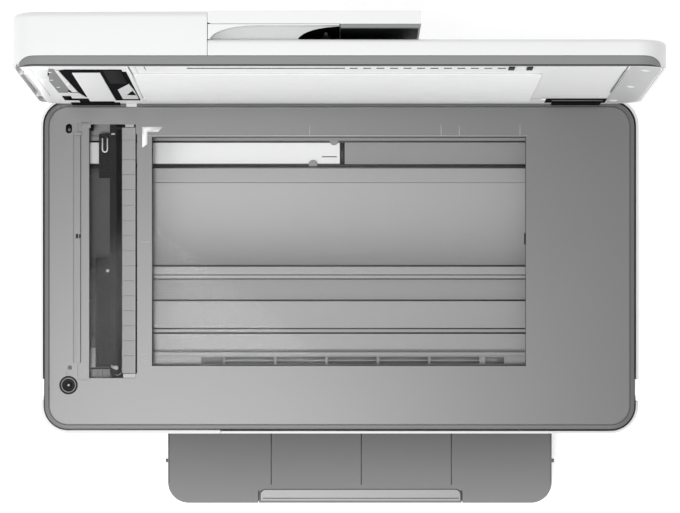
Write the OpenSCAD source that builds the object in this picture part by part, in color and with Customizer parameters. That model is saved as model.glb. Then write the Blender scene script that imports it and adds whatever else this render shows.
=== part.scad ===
// Wide-format inkjet all-in-one printer, shown with its scanner lid open.
// Millimetres. X runs along the width, Y to the back and Z up. The origin lies on the table
// plane, under the centre of the casing. The lid's parts are drawn closed, then opened about its hinge.

/* [Casing] */
// Width of the casing
body_w = 579; // [560:1:600]
// Depth of the casing, without the paper tray in front
body_d = 325; // [318:1:335]
// Radius of the casing's upright corners
corner_r = 27; // [22:1:32]
// Height of the scanner deck above the table
deck_z = 225; // [222:1:230]
// Wall thickness of the outer covers
wall = 2.5; // [2:0.1:3]

/* [Scanner] */
// Width of the clear glass window
window_w = 361.4; // [350:0.2:366]
// Depth of the clear glass window
window_d = 221.3; // [216:0.1:224]
// Depth of the scanner floor below the deck
floor_drop = 31; // [30:1:33]

/* [Lid] */
// Angle of the open lid above its closed place
lid_angle = 93.5; // [85:0.5:96]
// Thickness of the plain right half of the lid
lid_t = 24; // [22:1:25]
// Height of the document feeder above the lid's underside
feeder_t = 49; // [48:1:52]

/* [Paper tray] */
// Width of the paper cassette
tray_w = 387; // [384:1:388]
// How far the tray stands out in front of the casing
tray_out = 77; // [70:1:80]
// Height of the output tray's top above the table
tray_z = 66; // [65:1:67]

/* [Drive] */
// Number of teeth of the feed and eject gears
feed_teeth = 36; // [36:1:36]
// Number of teeth of the gear between them
idler_teeth = 24; // [24:1:24]
// Number of teeth of the feed motor's pinion
motor_teeth = 12; // [12:1:12]

/* [Hidden] */
$fn = 64;
hw = body_w / 2;
hd = body_d / 2;
seam = 0.4;          // gap between two outer covers
clear = 1.3;         // gap between the scanner unit and the covers round it
gear_m = 1;          // module of the paper drive's gears
scan_m = 0.65;       // module of the scan carriage's gear and rack
front_y = -127;      // the front covers wrap the corners back to here
rear_y = 135;        // the rear cover wraps the corners forward to here
low_z = 8;           // lower edge of the covers
split_z = 176;       // lower edge of the lifting scanner unit
rim_z = 219;         // top of the white rim round the deck
lintel_z = 119;      // top of the front frame, over the paper outlet
door_z = 122;        // lower edge of the front door and the panel housing
door_pivot_y = -157.7;
door_pivot_z = 125.6;
knuckle_x = [-108, 60, 196];
rear_pivot_y = 159.3;
rear_pivot_z = 63.2;
socket_x = [240.6, 251.8];
screw_places = [[-255, 50], [-255, 158], [-120, 158], [120, 158], [262, 50], [262, 158]];
panel_edge = -115;   // seam between the control panel and the front door
panel_l = -262;      // left edge of the tilting panel

// paper tray
tray_x = 20.5;       // the paper runs centred here
tl = tray_x - tray_w / 2;
tr = tray_x + tray_w / 2;
tray_front = -hd - tray_out;
tray_back = 128;
tray_r = 21;
inlet_x = -241.5;    // centre of the mains inlet
notch_l = tray_x - 102.5;
notch_r = tray_x + 103.5;
outlet_l = tl - 4;
outlet_r = tr + 4;
rack_y = -70;        // pinion that couples the paper guides
pivot_y = -14;       // hinge of the output tray
pivot_z = 61;

// scanner unit
window_l = -181.2;
window_r = window_l + window_w;
window_b = 124.4;    // back edge of the window
window_f = window_b - window_d;
glass_z = deck_z - 2;
strip_l = -242;      // narrow glass under the document feeder
strip_r = -210;
strip_f = -108.6;
strip_b = 136.6;
bezel_w = body_w - 2 * (wall + clear);
bezel_d = body_d - 2 * (wall + clear);
floor_z = deck_z - floor_drop;
tub_w = bezel_w - 5;
tub_d = 300;
tub_y = 6.2;
pocket_x = [for (i = [0:4]) -87.5 + 50 * i];
gear_at = -229;      // parked place of the scan carriage's gear
scan_rack_y = -83.6;
scan_gear_y = scan_rack_y + 6 * scan_m + 0.15;
lift_y = 152;        // hinge of the scanner unit
lift_z = 176;

// lid, drawn closed
hinge_y = 161.5;
hinge_z = deck_z + 7;
lid_z = deck_z + 2;
band_t = 9;          // height of the grey band along the lid's front
feeder_r = -116.4;   // right end of the feeder cover
hinge_x = [-235, 228];
cover_pivot_x = -285.4;
cover_pivot_z = lid_z + 2.5;
cover_hinge_y = [-100, 88];
roller_x = -246;
roller_z = lid_z + 26;
flap_x = -111.5;     // hinge of the feeder's input tray
flap_z = lid_z + feeder_t - 2.7;
tray_hinge_y = [-152.5, 142.5];

// paper drive
feed_y = 20;
feed_z = 100;
eject_y = -40;
idler_y = -10;
plate_x = 268;
gear_x = -277;
gear_t = 6;
path_r = 22;         // inner radius of the curved paper path
path_y = 103;
path_z = 85.8;
arm_y = 40;          // shaft of the pickup arm
arm_z = 66;
arm_reach = 52;
pinion_angle = -35;
pinion_reach = gear_m * (feed_teeth + motor_teeth) / 2;
motor_y = feed_y + pinion_reach * cos(pinion_angle);
motor_z = feed_z + pinion_reach * sin(pinion_angle);
rod_y = 42;
rod_z = 140;
belt_y = 52.5;
belt_z = 150;
belt_x = 252;
pulley_r = 7;
carriage_x = 207;    // the carriage parks over the service station
bay_w = [30, 21, 21, 21];

// ---------- shared shapes ----------

module block(x, y, z) translate([x[0], y[0], z[0]]) cube([x[1] - x[0], y[1] - y[0], z[1] - z[0]]);

module rod_x(r, x, y, z) translate([x[0], y, z]) rotate([0, 90, 0]) cylinder(r = r, h = x[1] - x[0]);

module rod_y(r, x, y, z) translate([x, y[1], z]) rotate([90, 0, 0]) cylinder(r = r, h = y[1] - y[0]);

module rod_z(r, x, y, z) translate([x, y, z[0]]) cylinder(r = r, h = z[1] - z[0]);

module round_rect(w, d, r) {
    square([w - 2 * r, d], center = true);
    square([w, d - 2 * r], center = true);
    for (x = [-1, 1], y = [-1, 1]) translate([x * (w / 2 - r), y * (d / 2 - r)]) circle(r = r);
}

module round_plate(w, d, r, z) translate([0, 0, z[0]]) linear_extrude(z[1] - z[0]) round_rect(w, d, r);

module round_ring(w, d, r, t, z) translate([0, 0, z[0]]) linear_extrude(z[1] - z[0]) difference() {
    round_rect(w, d, r);
    round_rect(w - 2 * t, d - 2 * t, r - t);
}

// slab with rounded upright corners and a rounded top edge
module soft_slab(w, d, r, z, edge) hull() for (x = [-1, 1], y = [-1, 1])
    translate([x * (w / 2 - r), y * (d / 2 - r), 0]) {
        translate([0, 0, z[0]]) cylinder(r = r, h = z[1] - z[0] - edge, $fn = 48);
        for (a = [30, 60, 90])
            translate([0, 0, z[1] - edge]) cylinder(r = r - edge * (1 - cos(a)), h = edge * sin(a), $fn = 48);
    }

// spur gear on +Z, with one tooth centred at the angle "turn"
module gear(teeth, t, turn = 0, bore = 0, m = gear_m) difference() {
    rotate(turn) linear_extrude(t) {
        circle(r = m * (teeth / 2 - 1.15));
        for (i = [0:teeth - 1]) rotate(i * 360 / teeth) polygon(tooth(m * teeth / 2, m));
    }
    if (bore > 0) translate([0, 0, -1]) cylinder(r = bore, h = t + 2);
}

function tooth(r, m) = [[r - 1.3 * m, -0.78 * m], [r, -0.58 * m], [r + 0.85 * m, -0.24 * m],
    [r + 0.85 * m, 0.24 * m], [r, 0.58 * m], [r - 1.3 * m, 0.78 * m]];

// straight rack along +X from its first tooth, with teeth towards +Y; the pitch line is at y = 0
module rack(teeth, t, back, m = gear_m) linear_extrude(t) {
    translate([-PI * m / 2, -back]) square([teeth * PI * m, back - 1.14 * m]);
    for (i = [0:teeth - 1]) translate([i * PI * m, 0])
        polygon([[-0.78, -1.3], [-0.55, 0], [-0.22, 0.85], [0.22, 0.85], [0.55, 0], [0.78, -1.3]] * m);
}

// turns lid parts from their closed place to the open one
module opened() translate([0, hinge_y, hinge_z]) rotate([-lid_angle, 0, 0])
    translate([0, -hinge_y, -hinge_z]) children();

// part of the casing's wall between two heights, cut to a rectangle in plan
module casing_wall(x, y, z, t = wall) intersection() {
    round_ring(body_w, body_d, corner_r, t, z);
    block(x, y, z);
}

// ---------- lower casing ----------

module base_pan() color("gainsboro") difference() {
    union() {
        round_plate(body_w - 8, body_d - 8, corner_r - 4, [4, 7]);
        difference() {
            round_ring(body_w - 8, body_d - 8, corner_r - 4, 2.5, [7, 40]);
            block([outlet_l - 3.5, outlet_r + 3.5], [-200, front_y], [6, 60]);
        }
        for (x = [outlet_l - 3, outlet_r]) block([x, x + 3], [front_y, 150], [7, 60]);
        for (x = [-275, 262], y = [-118, 128]) block([x, x + 13], [y, y + 10], [7, 61.9]);
        for (x = [-150, -60, 100, 190]) block([x, x + 2], [-150, 150], [6.9, 8.4]);
    }
    for (x = [-250:10:-200]) block([x, x + 4], [-60, 40], [3, 8]);
    block([inlet_x - 15.5, inlet_x + 15.5], [140, 170], [14, 41]);
}

module rubber_feet() color("dimgray") {
    for (x = [-250, 250], y = [-128, 0, 128]) difference() {
        rod_z(11, x, y, [0, 4]);
        rod_z(3, x, y, [-1, 1.5]);
    }
    rod_z(11, 0, 0, [0, 4]);
}

module side_cover(side) color("white") {
    x = side < 0 ? [-hw - 1, -hw + corner_r] : [hw - corner_r, hw + 1];
    difference() {
        union() {
            casing_wall(x, [front_y + 0.8, rear_y - seam], [low_z, split_z - 2.4]);
            for (z = [72, 110, 165])
                block(side < 0 ? [-hw + 1, -279] : [279, hw - 1], [-100, 120], [z, z + 1.6]);
        }
        if (side > 0) for (y = [20:8:100]) block([hw - wall - 1, hw + 1], [y, y + 3.5], [120, 150]);
        block(side < 0 ? [-hw - 1, -hw + 0.8] : [hw - 0.8, hw + 1], [-150, 150], [64, 65]);
    }
}

module rear_cover() color("white") {
    difference() {
        casing_wall([-hw - 1, hw + 1], [rear_y, hd + 1], [low_z, split_z - 5]);
        block([-192, 234], [150, hd + 1], [58, 152]);
        block([inlet_x - 15.5, inlet_x + 15.5], [150, hd + 1], [16, 42]);
        block([240, 258], [150, hd + 1], [84, 99]);
        block([240, 254], [150, hd + 1], [106, 118]);
        for (x = socket_x) block([x - 0.6, x + 9.6], [150, hd + 1], [126, 138]);
        for (x = [-262:9:-205], z = [100, 124]) block([x, x + 4], [150, hd + 1], [z, z + 18]);
        for (p = screw_places) rod_y(1.7, p[0], [150, hd + 1], p[1]);
    }
    // hinge lugs and pins of the rear door
    for (side = [0, 1]) mirror_x(side, 21) {
        block([-197, -192.6], [155, 160.1], [60, 66.5]);
        rod_x(1.45, [-193, -186.5], rear_pivot_y, rear_pivot_z);
    }
}

// repeats its children mirrored about the plane x = centre, when asked
module mirror_x(on, centre) translate([centre, 0, 0]) mirror([on, 0, 0])
    translate([-centre, 0, 0]) children();

module front_frame() color("white") {
    difference() {
        union() {
            casing_wall([-hw - 1, hw + 1], [-hd - 1, front_y], [low_z, lintel_z], 3);
            for (x = [outlet_l - 3, outlet_r])
                block([x, x + 3], [-hd + 1, front_y - 0.5], [low_z, lintel_z]);
            block([outlet_l - 3, outlet_r + 3], [-hd + 1, front_y - 0.5], [111, 114]);
            block([outlet_l - 3, outlet_r + 3], [-hd + 1, -158], [111, lintel_z]);
        }
        block([outlet_l, outlet_r], [-hd - 2, front_y + 1], [low_z - 1, 111]);
        rod_y(6.4, -262, [-170, -150], 98);
        block([-242, -229], [-170, -150], [95, 101]);
    }
    // hinge lugs and pins of the front door
    for (x = knuckle_x) {
        block([x + 14.6, x + 18.6], [-152, -148], [113, 127]);
        block([x + 14.6, x + 18.6], [door_pivot_y, -148], [door_pivot_z - 1.4, 127]);
        rod_x(1.45, [x + 1, x + 18.6], door_pivot_y, door_pivot_z);
    }
}

module panel_housing() color("white") difference() {
    union() {
        casing_wall([-hw - 1, panel_edge - seam / 2], [-hd - 1, front_y], [door_z, rim_z - 2], 3);
        block([-hw + 2, panel_edge - seam / 2], [-hd + 2, -130], [door_z, door_z + 2]);
        for (x = [panel_l - 6.5, -119.4]) block([x, x + 4], [-160, -147], [door_z, 214]);
        block([-283.5, panel_edge - seam / 2], [-140, -137.5], [door_z, 186]);
        for (x = [-270, -200]) block([x, x + 8], [-152, -142], [lintel_z, door_z + 1]);
    }
    block([panel_l - 1, -120.5], [-170, -158], [126.5, 214.8]);
    rod_x(2.05, [panel_l - 7, -110], -157, 207);
    block([-hw - 1, -116], [-131, -110], [186, 220]);
}

module touch_panel() {
    color("gainsboro") difference() {
        block([panel_l, -121.5], [-hd + 0.2, -151], [129, 211]);
        block([panel_l + 3, -124.5], [-159, -150], [132, 203]);
        block([panel_l + 11, -132.5], [-170, -hd + 1.4], [138, 202]);
    }
    color("silver") for (x = [[panel_l - 4, panel_l + 2.5], [-124, -117.5]]) rod_x(2, x, -157, 207);
    color("black") block([panel_l + 11.5, -133], [-hd + 0.3, -hd + 1.4], [138.5, 201.5]);
}

module power_button() color("gainsboro") {
    rod_y(6, -262, [-hd - 0.8, -150.5], 98);
    rod_y(8.5, -262, [-157.5, -156], 98);
}

// drop-down door that wraps the right front corner
module front_door() color("white") difference() {
    union() {
        casing_wall([panel_edge + seam / 2, hw + 1], [-hd - 1, front_y], [door_z, rim_z - 2.4], 2.6);
        for (x = [-100:60:260]) block([x, x + 2], [-hd + 2, -157.5], [door_z + 8, 204]);
        for (x = knuckle_x) {
            rod_x(2.9, [x, x + 14], door_pivot_y, door_pivot_z);
            block([x, x + 14], [-hd + 1, door_pivot_y], [door_pivot_z - 2.4, door_pivot_z + 2.6]);
        }
    }
    rod_x(1.5, [-120, 230], door_pivot_y, door_pivot_z);
    block([hw - 10, hw + 1], [-131, -110], [186, 220]);
}

module rear_door() color("white") difference() {
    union() {
        difference() {
            block([-191.5, 233.5], [hd - wall, hd], [60.5, 151.5]);
            for (x = [-40, 82]) block([x - 1, x + 1], [hd - 1, hd + 1], [138, 148]);
            block([0, 42], [hd - 1.2, hd + 1], [139, 147]);
        }
        for (x = [-180:36:225]) block([x, x + 2], [148, hd - wall + 0.5], [66, 146]);
        rod_x(2.5, [-191, 233], rear_pivot_y, rear_pivot_z);
    }
    for (x = [[-192, -186], [228, 234]]) rod_x(1.5, x, rear_pivot_y, rear_pivot_z);
}

module case_screws() color("silver") for (p = screw_places) {
    rod_y(3.2, p[0], [hd, hd + 1.4], p[1]);
    rod_y(1.4, p[0], [hd - 9, hd + 0.1], p[1]);
}

// ---------- frame and electrics ----------

module side_plates() color("lightsteelblue") for (side = [-1, 1]) {
    difference() {
        union() {
            block(side < 0 ? [-plate_x - 1.5, -plate_x] : [plate_x, plate_x + 1.5], [-118, 140], [62, 169]);
            block(side < 0 ? [-plate_x - 1.5, -plate_x] : [plate_x, plate_x + 1.5], [139, 156], [150, 183]);
            block(side < 0 ? [-plate_x, -plate_x + 9] : [plate_x - 9, plate_x], [-118, 140], [62, 63.5]);
        }
        for (p = [[feed_y, feed_z], [eject_y, feed_z], [rod_y, rod_z]])
            rod_x(4.05, [side * plate_x - 3, side * plate_x + 3], p[0], p[1]);
        rod_x(3.05, [side * plate_x - 3, side * plate_x + 3], lift_y, lift_z);
        rod_x(4, [side * plate_x - 3, side * plate_x + 3], motor_y, motor_z);
        block([side * plate_x - 3, side * plate_x + 3], [95, 141], [78, 144]);
    }
    if (side < 0) rod_x(2.5, [-plate_x - 9.5, -plate_x - 1.4], idler_y, feed_z);
}

module guide_rail() color("silver") {
    rod_x(4, [-273, 273], rod_y, rod_z);
    difference() {
        union() {
            block([-267, 267], [62, 63.5], [112, 168]);
            block([-267, 267], [50, 62.1], [166.5, 168]);
            block([-267, 267], [63.4, 75], [112, 113.5]);
        }
        for (x = [-belt_x, belt_x]) rod_y(4, x, [60, 66], belt_z);
        for (x = [-190:50:200]) block([x, x + 24], [60, 66], [124, 140]);
    }
    rod_y(2, belt_x, [51, 69], belt_z);
    rod_y(6, belt_x, [63.5, 66], belt_z);
}

module stadium(r) {
    for (x = [-belt_x, belt_x]) translate([x, 0]) circle(r = r);
    square([2 * belt_x, 2 * r], center = true);
}

module carriage_belt() color("black") translate([0, belt_y + 6, belt_z]) rotate([90, 0, 0])
    linear_extrude(6) difference() {
        stadium(pulley_r + 1.3);
        stadium(pulley_r + 0.08);
    }

module pulley(x) color("white") difference() {
    union() {
        rod_y(pulley_r, x, [belt_y - 0.5, belt_y + 6.5], belt_z);
        for (y = [belt_y - 1.5, belt_y + 6.5]) rod_y(pulley_r + 1.6, x, [y, y + 1], belt_z);
    }
    rod_y(2.06, x, [belt_y - 3, belt_y + 9], belt_z);
}

module drive_motors() {
    color("silver") {
        rod_y(15, -belt_x, [64, 92], belt_z);
        rod_y(3.8, -belt_x, [61, 64.1], belt_z);
        rod_y(2, -belt_x, [50, 64.1], belt_z);
        rod_x(13, [-plate_x + 0.3, -238], motor_y, motor_z);
        rod_x(1.5, [gear_x - 0.5, -plate_x + 0.4], motor_y, motor_z);
    }
    color("black") {
        block([-belt_x - 6, -belt_x + 6], [92, 97], [belt_z - 4, belt_z + 4]);
        block([-238, -233], [motor_y - 5, motor_y + 5], [motor_z - 4, motor_z + 4]);
    }
}

module power_supply() {
    color("darkslategray") difference() {
        block([-282, -184], [-100, 122], [9, 58]);
        for (y = [-80:12:90]) block([-270, -196], [y, y + 5], [57, 59]);
    }
    color("black") difference() {
        block([inlet_x - 14.5, inlet_x + 14.5], [122, hd - 0.4], [17, 41]);
        block([inlet_x - 10.5, inlet_x + 10.5], [140, hd + 1], [21, 37]);
    }
    color("silver") for (x = [-5, 0, 5])
        block([inlet_x + x - 0.8, inlet_x + x + 0.8], [139.5, 154], [25, 32]);
}

// vertical circuit board beside the right side plate, with the sockets at the back
module main_board() {
    color("seagreen") block([276, 277.6], [-60, 130], [80, 162]);
    color("black") {
        block([270.5, 276], [-20, 8], [110, 138]);
        for (y = [40, 62, 84]) block([272.5, 276], [y, y + 14], [118, 128]);
        for (z = [86, 150]) block([271, 276], [-40, -10], [z, z + 6]);
        block([241, 257], [130, hd - 0.5], [85, 98]);
        block([241, 253], [130, hd - 0.5], [107, 117]);
        for (x = socket_x) block([x, x + 9], [130, hd - 0.5], [126.6, 137.4]);
        block([238, 276.5], [128, 130], [80, 142]);
    }
    color("silver") for (y = [104, 118]) rod_x(5, [266, 276], y, 96);
}

// ---------- paper drive ----------

module platen() color("dimgray") {
    block([-150, 190], [-28, 8], [96, 101.5]);
    for (x = [-146:14:188]) block([x, x + 3], [-27, 7.5], [101.4, 108.2]);
    block([-264, -149], [-24, 4], [96, 101.5]);
    // curved path that turns the sheet over behind the rollers
    difference() {
        rod_x(path_r + 2.5, [-150, 190], path_y, path_z);
        rod_x(path_r, [-151, 191], path_y, path_z);
        block([-151, 191], [path_y - 40, path_y], [40, 120]);
    }
    block([-150, 190], [32, path_y + 0.5], [path_z + path_r, path_z + path_r + 2.5]);
    for (x = [-150, 187]) {
        block([x, x + 3], [31, path_y + path_r + 1], [path_z - 4, path_z + path_r + 1]);
        block([x, x + 3], [-28, 8], [86, 96.1]);
        block([x, x + 3], [-28, 31.1], [86, 94]);
    }
    // hangers and shaft of the pickup arm
    for (x = [-2, 39]) block([x, x + 3], [arm_y - 4, arm_y + 4], [arm_z - 5, path_z + path_r + 1]);
    rod_x(3, [-1, 41], arm_y, arm_z);
}

module star_wheel_holder() color("black") {
    difference() {
        block([-160, 196], [-51, -39.5], [112, 117.8]);
        for (x = [-140:30:180]) block([x - 3, x + 3], [-50, -38], [111, 118]);
    }
    for (x = [-140:30:180]) {
        rod_x(4.5, [x - 0.6, x + 0.6], -44.5, 112.5);
        rod_x(1, [x - 3.1, x + 3.1], -44.5, 114.5);
    }
    for (x = [-264, 196]) block([x, x < 0 ? -160 : 264], [-51, -45], [114, 117.8]);
}

module service_station() {
    color("dimgray") difference() {
        block([196, 262], [-27, 8], [76, 104]);
        block([200, 258], [-24, 5], [90, 105]);
    }
    color("black") for (x = [206, 232]) difference() {
        block([x, x + 20], [-20, 1], [90, 109.6]);
        block([x + 1.5, x + 18.5], [-18.5, -0.5], [106, 111]);
    }
}

module roller(y, z, turn) {
    color("silver") rod_x(4, [gear_x + gear_t - 0.5, 273], y, z);
    color("black") for (x = [-128:62:140]) rod_x(8.4, [x, x + 44], y, z);
    color("white") translate([gear_x, y, z]) rotate([90, 0, 90]) gear(feed_teeth, gear_t, turn);
}

module feed_roller() roller(feed_y, feed_z, 0);

module eject_roller() roller(eject_y, feed_z, 0);

module idler_gear() color("white") translate([gear_x, idler_y, feed_z]) rotate([90, 0, 90])
    gear(idler_teeth, gear_t, 180 / idler_teeth, 2.55);

module motor_pinion() color("white") translate([gear_x, motor_y, motor_z]) rotate([90, 0, 90])
    gear(motor_teeth, gear_t, 180 + pinion_angle, 1.55);

module pickup_arm() color("dimgray") difference() {
    union() {
        for (x = [2, 35]) {
            block([x, x + 3], [arm_y, arm_y + arm_reach], [arm_z - 3, arm_z + 3]);
            for (y = [arm_y, arm_y + arm_reach]) rod_x(5, [x, x + 3], y, arm_z);
        }
        block([2, 38], [arm_y + 8, arm_y + 34], [arm_z + 1, arm_z + 3]);
    }
    rod_x(3.05, [0, 40], arm_y, arm_z);
    rod_x(2.05, [0, 40], arm_y + arm_reach, arm_z);
}

module pickup_roller() {
    color("black") rod_x(9, [8, 32], arm_y + arm_reach, arm_z);
    color("silver") rod_x(2, [1, 39], arm_y + arm_reach, arm_z);
}

// ---------- print carriage ----------

function bay_x(i) = carriage_x - 52 + 2 + (i == 0 ? 0 : bay_w[0] + 2 + (i - 1) * (bay_w[1] + 2));

module print_carriage() color("dimgray") difference() {
    union() {
        block([carriage_x - 52, carriage_x + 51], [-38, 34], [114, 117]);
        block([carriage_x - 52, carriage_x + 51], [30, 34], [114, 163]);
        for (i = [0:3]) block([bay_x(i) - 2, bay_x(i)], [-36, 34], [114, 158]);
        block([carriage_x + 49, carriage_x + 51], [-36, 34], [114, 158]);
        block([carriage_x - 38, carriage_x + 38], [-18, 18], [110.6, 114]);
        block([carriage_x - 42, carriage_x + 42], [33, 48], [133, 148]);
        block([carriage_x - 15, carriage_x + 15], [33, 51.5], [152, 156]);
    }
    rod_x(4.06, [carriage_x - 60, carriage_x + 60], rod_y, rod_z);
    block([carriage_x - 20, carriage_x + 20], [35, 50], [130, 148.1]);
    for (i = [0:3]) block([bay_x(i) + 4, bay_x(i) + bay_w[i] - 4], [-30, 10], [113, 118]);
}

// cartridge with a finger rib on its front face
module cartridge(i, tint) color(tint) {
    x0 = bay_x(i) + 0.4;
    x1 = bay_x(i) + bay_w[i] - 0.4;
    difference() {
        block([x0, x1], [-35, 29.5], [118.4, 157]);
        block([x0 + 3, x1 - 3], [-36, -31], [124, 148]);
    }
    block([x0 + 5, x1 - 5], [-37.5, -30], [134, 138]);
}

// ---------- paper cassette ----------

module tray_outline(inset) translate([tray_x, 0]) {
    w = tray_w - 2 * inset;
    f = tray_front + inset;
    translate([-w / 2, f + tray_r]) square([w, 30]);
    translate([-w / 2 + tray_r, f]) square([w - 2 * tray_r, 40]);
    for (x = [-1, 1]) translate([x * (w / 2 - tray_r), f + tray_r]) circle(r = tray_r);
}

module cassette() color("gainsboro") {
    difference() {
        union() {
            difference() {
                union() {
                    translate([0, 0, 9]) linear_extrude(47) tray_outline(1);
                    block([tl + 1, tr - 1], [tray_front + 40, tray_back], [9, 56]);
                }
                translate([0, 0, 12]) linear_extrude(50) tray_outline(4.5);
                block([tl + 4.5, tr - 4.5], [tray_front + 41, tray_back - 3], [12, 60]);
            }
            for (x = [[tl + 1, tl + 3.5], [tr - 3.5, tr - 1]])
                block(x, [pivot_y - 6, pivot_y + 6], [50, 66]);
            block([tray_x - 43, tray_x + 43], [tray_front + 2, tray_front + 15], [10, 33]);
        }
        block([tray_x - 40, tray_x + 40], [tray_front - 2, tray_front + 12], [12, 30]);
        rod_x(2.05, [tl - 2, tr + 2], pivot_y, pivot_z);
    }
    rod_z(2, tray_x, rack_y, [11, 17]);
}

// toothed arm of a width guide; flipped, it runs the other way from the same pinion
module guide_rack(flip) translate([tray_x, rack_y, 12.4]) rotate(flip ? 180 : 0)
    translate([-7.5 * PI * gear_m, -7 * gear_m, 0]) rack(53, 2.6, 5);

// the plate stands clear of the other guide's rack, which passes below it
module width_guide(flip) color("silver") {
    guide_rack(flip);
    mirror_x(flip ? 0 : 1, tray_x) translate([tray_x, rack_y, 0]) {
        block([-151.5, -148.5], [-40, 40], [16.4, 48]);
        block([-149, -143], [-30, 30], [16.4, 18.4]);
        mirror([0, flip ? 0 : 1, 0]) block([-149, -130], [8.3, 12], [12.4, 17]);
    }
}

module width_pinion() color("white") translate([tray_x, rack_y, 12.4]) difference() {
    union() {
        gear(14, 2.6, 90);
        cylinder(r = 3.4, h = 4.2);
    }
    translate([0, 0, -1]) cylinder(r = 2.06, h = 8);
}

module length_guide() color("silver") {
    block([tray_x - 45, tray_x + 45], [-196, -193], [12.4, 46]);
    block([tray_x - 12, tray_x + 12], [-196, -170], [12.4, 14.4]);
    for (x = [-30, 28]) block([tray_x + x, tray_x + x + 2], [-194, -182], [12.4, 34]);
}

module output_tray() color("darkgray") {
    difference() {
        union() {
            translate([0, 0, 57]) linear_extrude(tray_z - 57) tray_outline(0);
            block([tl, tr], [tray_front + 40, pivot_y - 8], [57, tray_z]);
            block([tl + 4.3, tr - 4.3], [pivot_y - 9, pivot_y + 5], [57.2, 64.8]);
        }
        block([notch_l, notch_r], [tray_front - 1, -50], [60, 63.6]);
        block([notch_l, notch_r], [tray_front - 1, tray_front + 12.5], [63, tray_z + 1]);
        block([notch_l, notch_r], [tray_front - 1, tray_front + 3.6], [56, tray_z + 1]);
        block([tl + 12, notch_l - 12], [tray_front + 18, -24], [56, 63]);
        block([notch_r + 12, tr - 12], [tray_front + 18, -24], [56, 63]);
        for (x = [-90.8, 0, 90.8])
            block([tray_x + 1 + x, tray_x + 2 + x], [-221, -20], [tray_z - 0.6, tray_z + 1]);
    }
    for (x = [[tl + 1.3, tl + 4.5], [tr - 4.5, tr - 1.3]]) rod_x(2, x, pivot_y, pivot_z);
    for (x = [tl - 2.4, tr - 0.1]) rod_x(2, [x, x + 2.5], -197, 61.5);
}

module output_extension() color("darkgray") {
    block([notch_l + 1, notch_r - 1], [tray_front + 3.2, -66], [60.6, 63]);
    difference() {
        block([notch_l + 0.8, notch_r - 0.8], [tray_front, tray_front + 3.3], [57.4, 65.2]);
        block([notch_l + 60, notch_r - 60], [tray_front - 1, tray_front + 1.2], [59, 64]);
    }
}

// ---------- scanner unit ----------

module scanner_skirt() color("white") difference() {
    union() {
        casing_wall([-hw - 1, hw + 1], [-110, hd + 1], [split_z, rim_z]);
        round_ring(body_w - 2 * wall + 1, body_d - 2 * wall + 1, corner_r - wall, 6, [186, 188]);
    }
    block([-hw, hw], [-hd - 1, -100], [185, 189]);
    block([-hw + wall + 0.1, hw - wall - 0.1], [lift_y - 16, 158.5], [185, 189]);
}

// height of the scanner floor, stepped from back to front: [y, z]
floor_steps = [[157, 2], [126, 2], [126, 6], [121.6, 6], [121.6, 0], [96.5, 0], [96.5, 5.5], [81, 5],
    [80.4, 4], [66, 3], [40, 1.8], [14, 2.2], [-1, 3.6], [-1, 9], [-8.6, 9], [-8.6, 7], [-12.4, 7],
    [-12.4, 2.6], [-34.6, 3.4], [-34.6, 7], [-60.6, 7], [-60.6, 2.4], [-66.4, 2.4], [-66.4, 5],
    [-82, 4.6], [-86.2, 4.6], [-86.2, 7], [-145, 7]];

module scanner_tub() color("darkgray") {
    translate([0, tub_y, 0]) round_ring(tub_w, tub_d, 23, 2.5, [floor_z - 4, glass_z - 3.4]);
    difference() {
        intersection() {
            translate([-tub_w / 2, 0, floor_z]) rotate([90, 0, 90]) linear_extrude(tub_w)
                polygon(concat(floor_steps, [[-145, -2], [157, -2]]));
            translate([0, tub_y, 0]) round_plate(tub_w - 1, tub_d - 1, 22, [floor_z - 4, floor_z + 10]);
        }
        for (x = pocket_x) block([x - 24.2, x + 24.2], [-95.5, -88.6], [floor_z + 5.8, floor_z + 8]);
        block([0.5, 5], [98, 120], [floor_z - 3, floor_z + 1]);
    }
    // ears of the lift hinge
    for (side = [-1, 1]) {
        block(side < 0 ? [-276, -271.6] : [271.6, 276], [lift_y - 7, 154], [170, floor_z]);
        rod_x(3, side < 0 ? [-274, -266] : [266, 274], lift_y, lift_z);
    }
    // toothed rail of the scan carriage
    translate([gear_at - 8.5 * PI * scan_m, scan_rack_y, floor_z + 4.8]) rack(210, 3.4, 4, scan_m);
}

module scanner_deck() color("darkgray") difference() {
    union() {
        difference() {
            soft_slab(bezel_w, bezel_d, corner_r - 3.5, [deck_z - 8, deck_z], 3);
            round_plate(bezel_w - 4.4, bezel_d - 4.4, corner_r - 6, [deck_z - 9, deck_z - 1.8]);
        }
        block([-257.2, -249.8], [-93.9, 126], [deck_z - 0.5, deck_z + 0.7]);
        rod_z(10, -261.8, -115.4, [deck_z - 8, deck_z - 0.5]);
    }
    block([window_l, window_r], [window_f, window_b], [deck_z - 20, deck_z + 2]);
    block([strip_l, strip_r], [strip_f, strip_b], [deck_z - 20, deck_z + 2]);
    block([strip_l - 6.5, strip_r + 13.5], [strip_f - 2, strip_b + 2], [deck_z - 1, deck_z + 2]);
    rod_z(8.9, -261.8, -115.4, [deck_z - 3, deck_z + 1]);
    rod_z(5, -261.8, -115.4, [deck_z - 9, deck_z + 1]);
    for (y = [134, 131]) rod_z(3.1, -261.4, y, [deck_z - 6, deck_z + 1]);
    for (y = [-98.5, -104]) rod_z(3, -260.5, y, [deck_z - 0.8, deck_z + 1]);
    for (x = [-254.4, -251.4]) block([x, x + 2], [26.5, 30.5], [deck_z - 0.6, deck_z + 1]);
    for (c = hinge_x) block([c - 23.5, c + 23.5], [155, hd], [deck_z - 9, deck_z + 1]);
}

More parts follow.
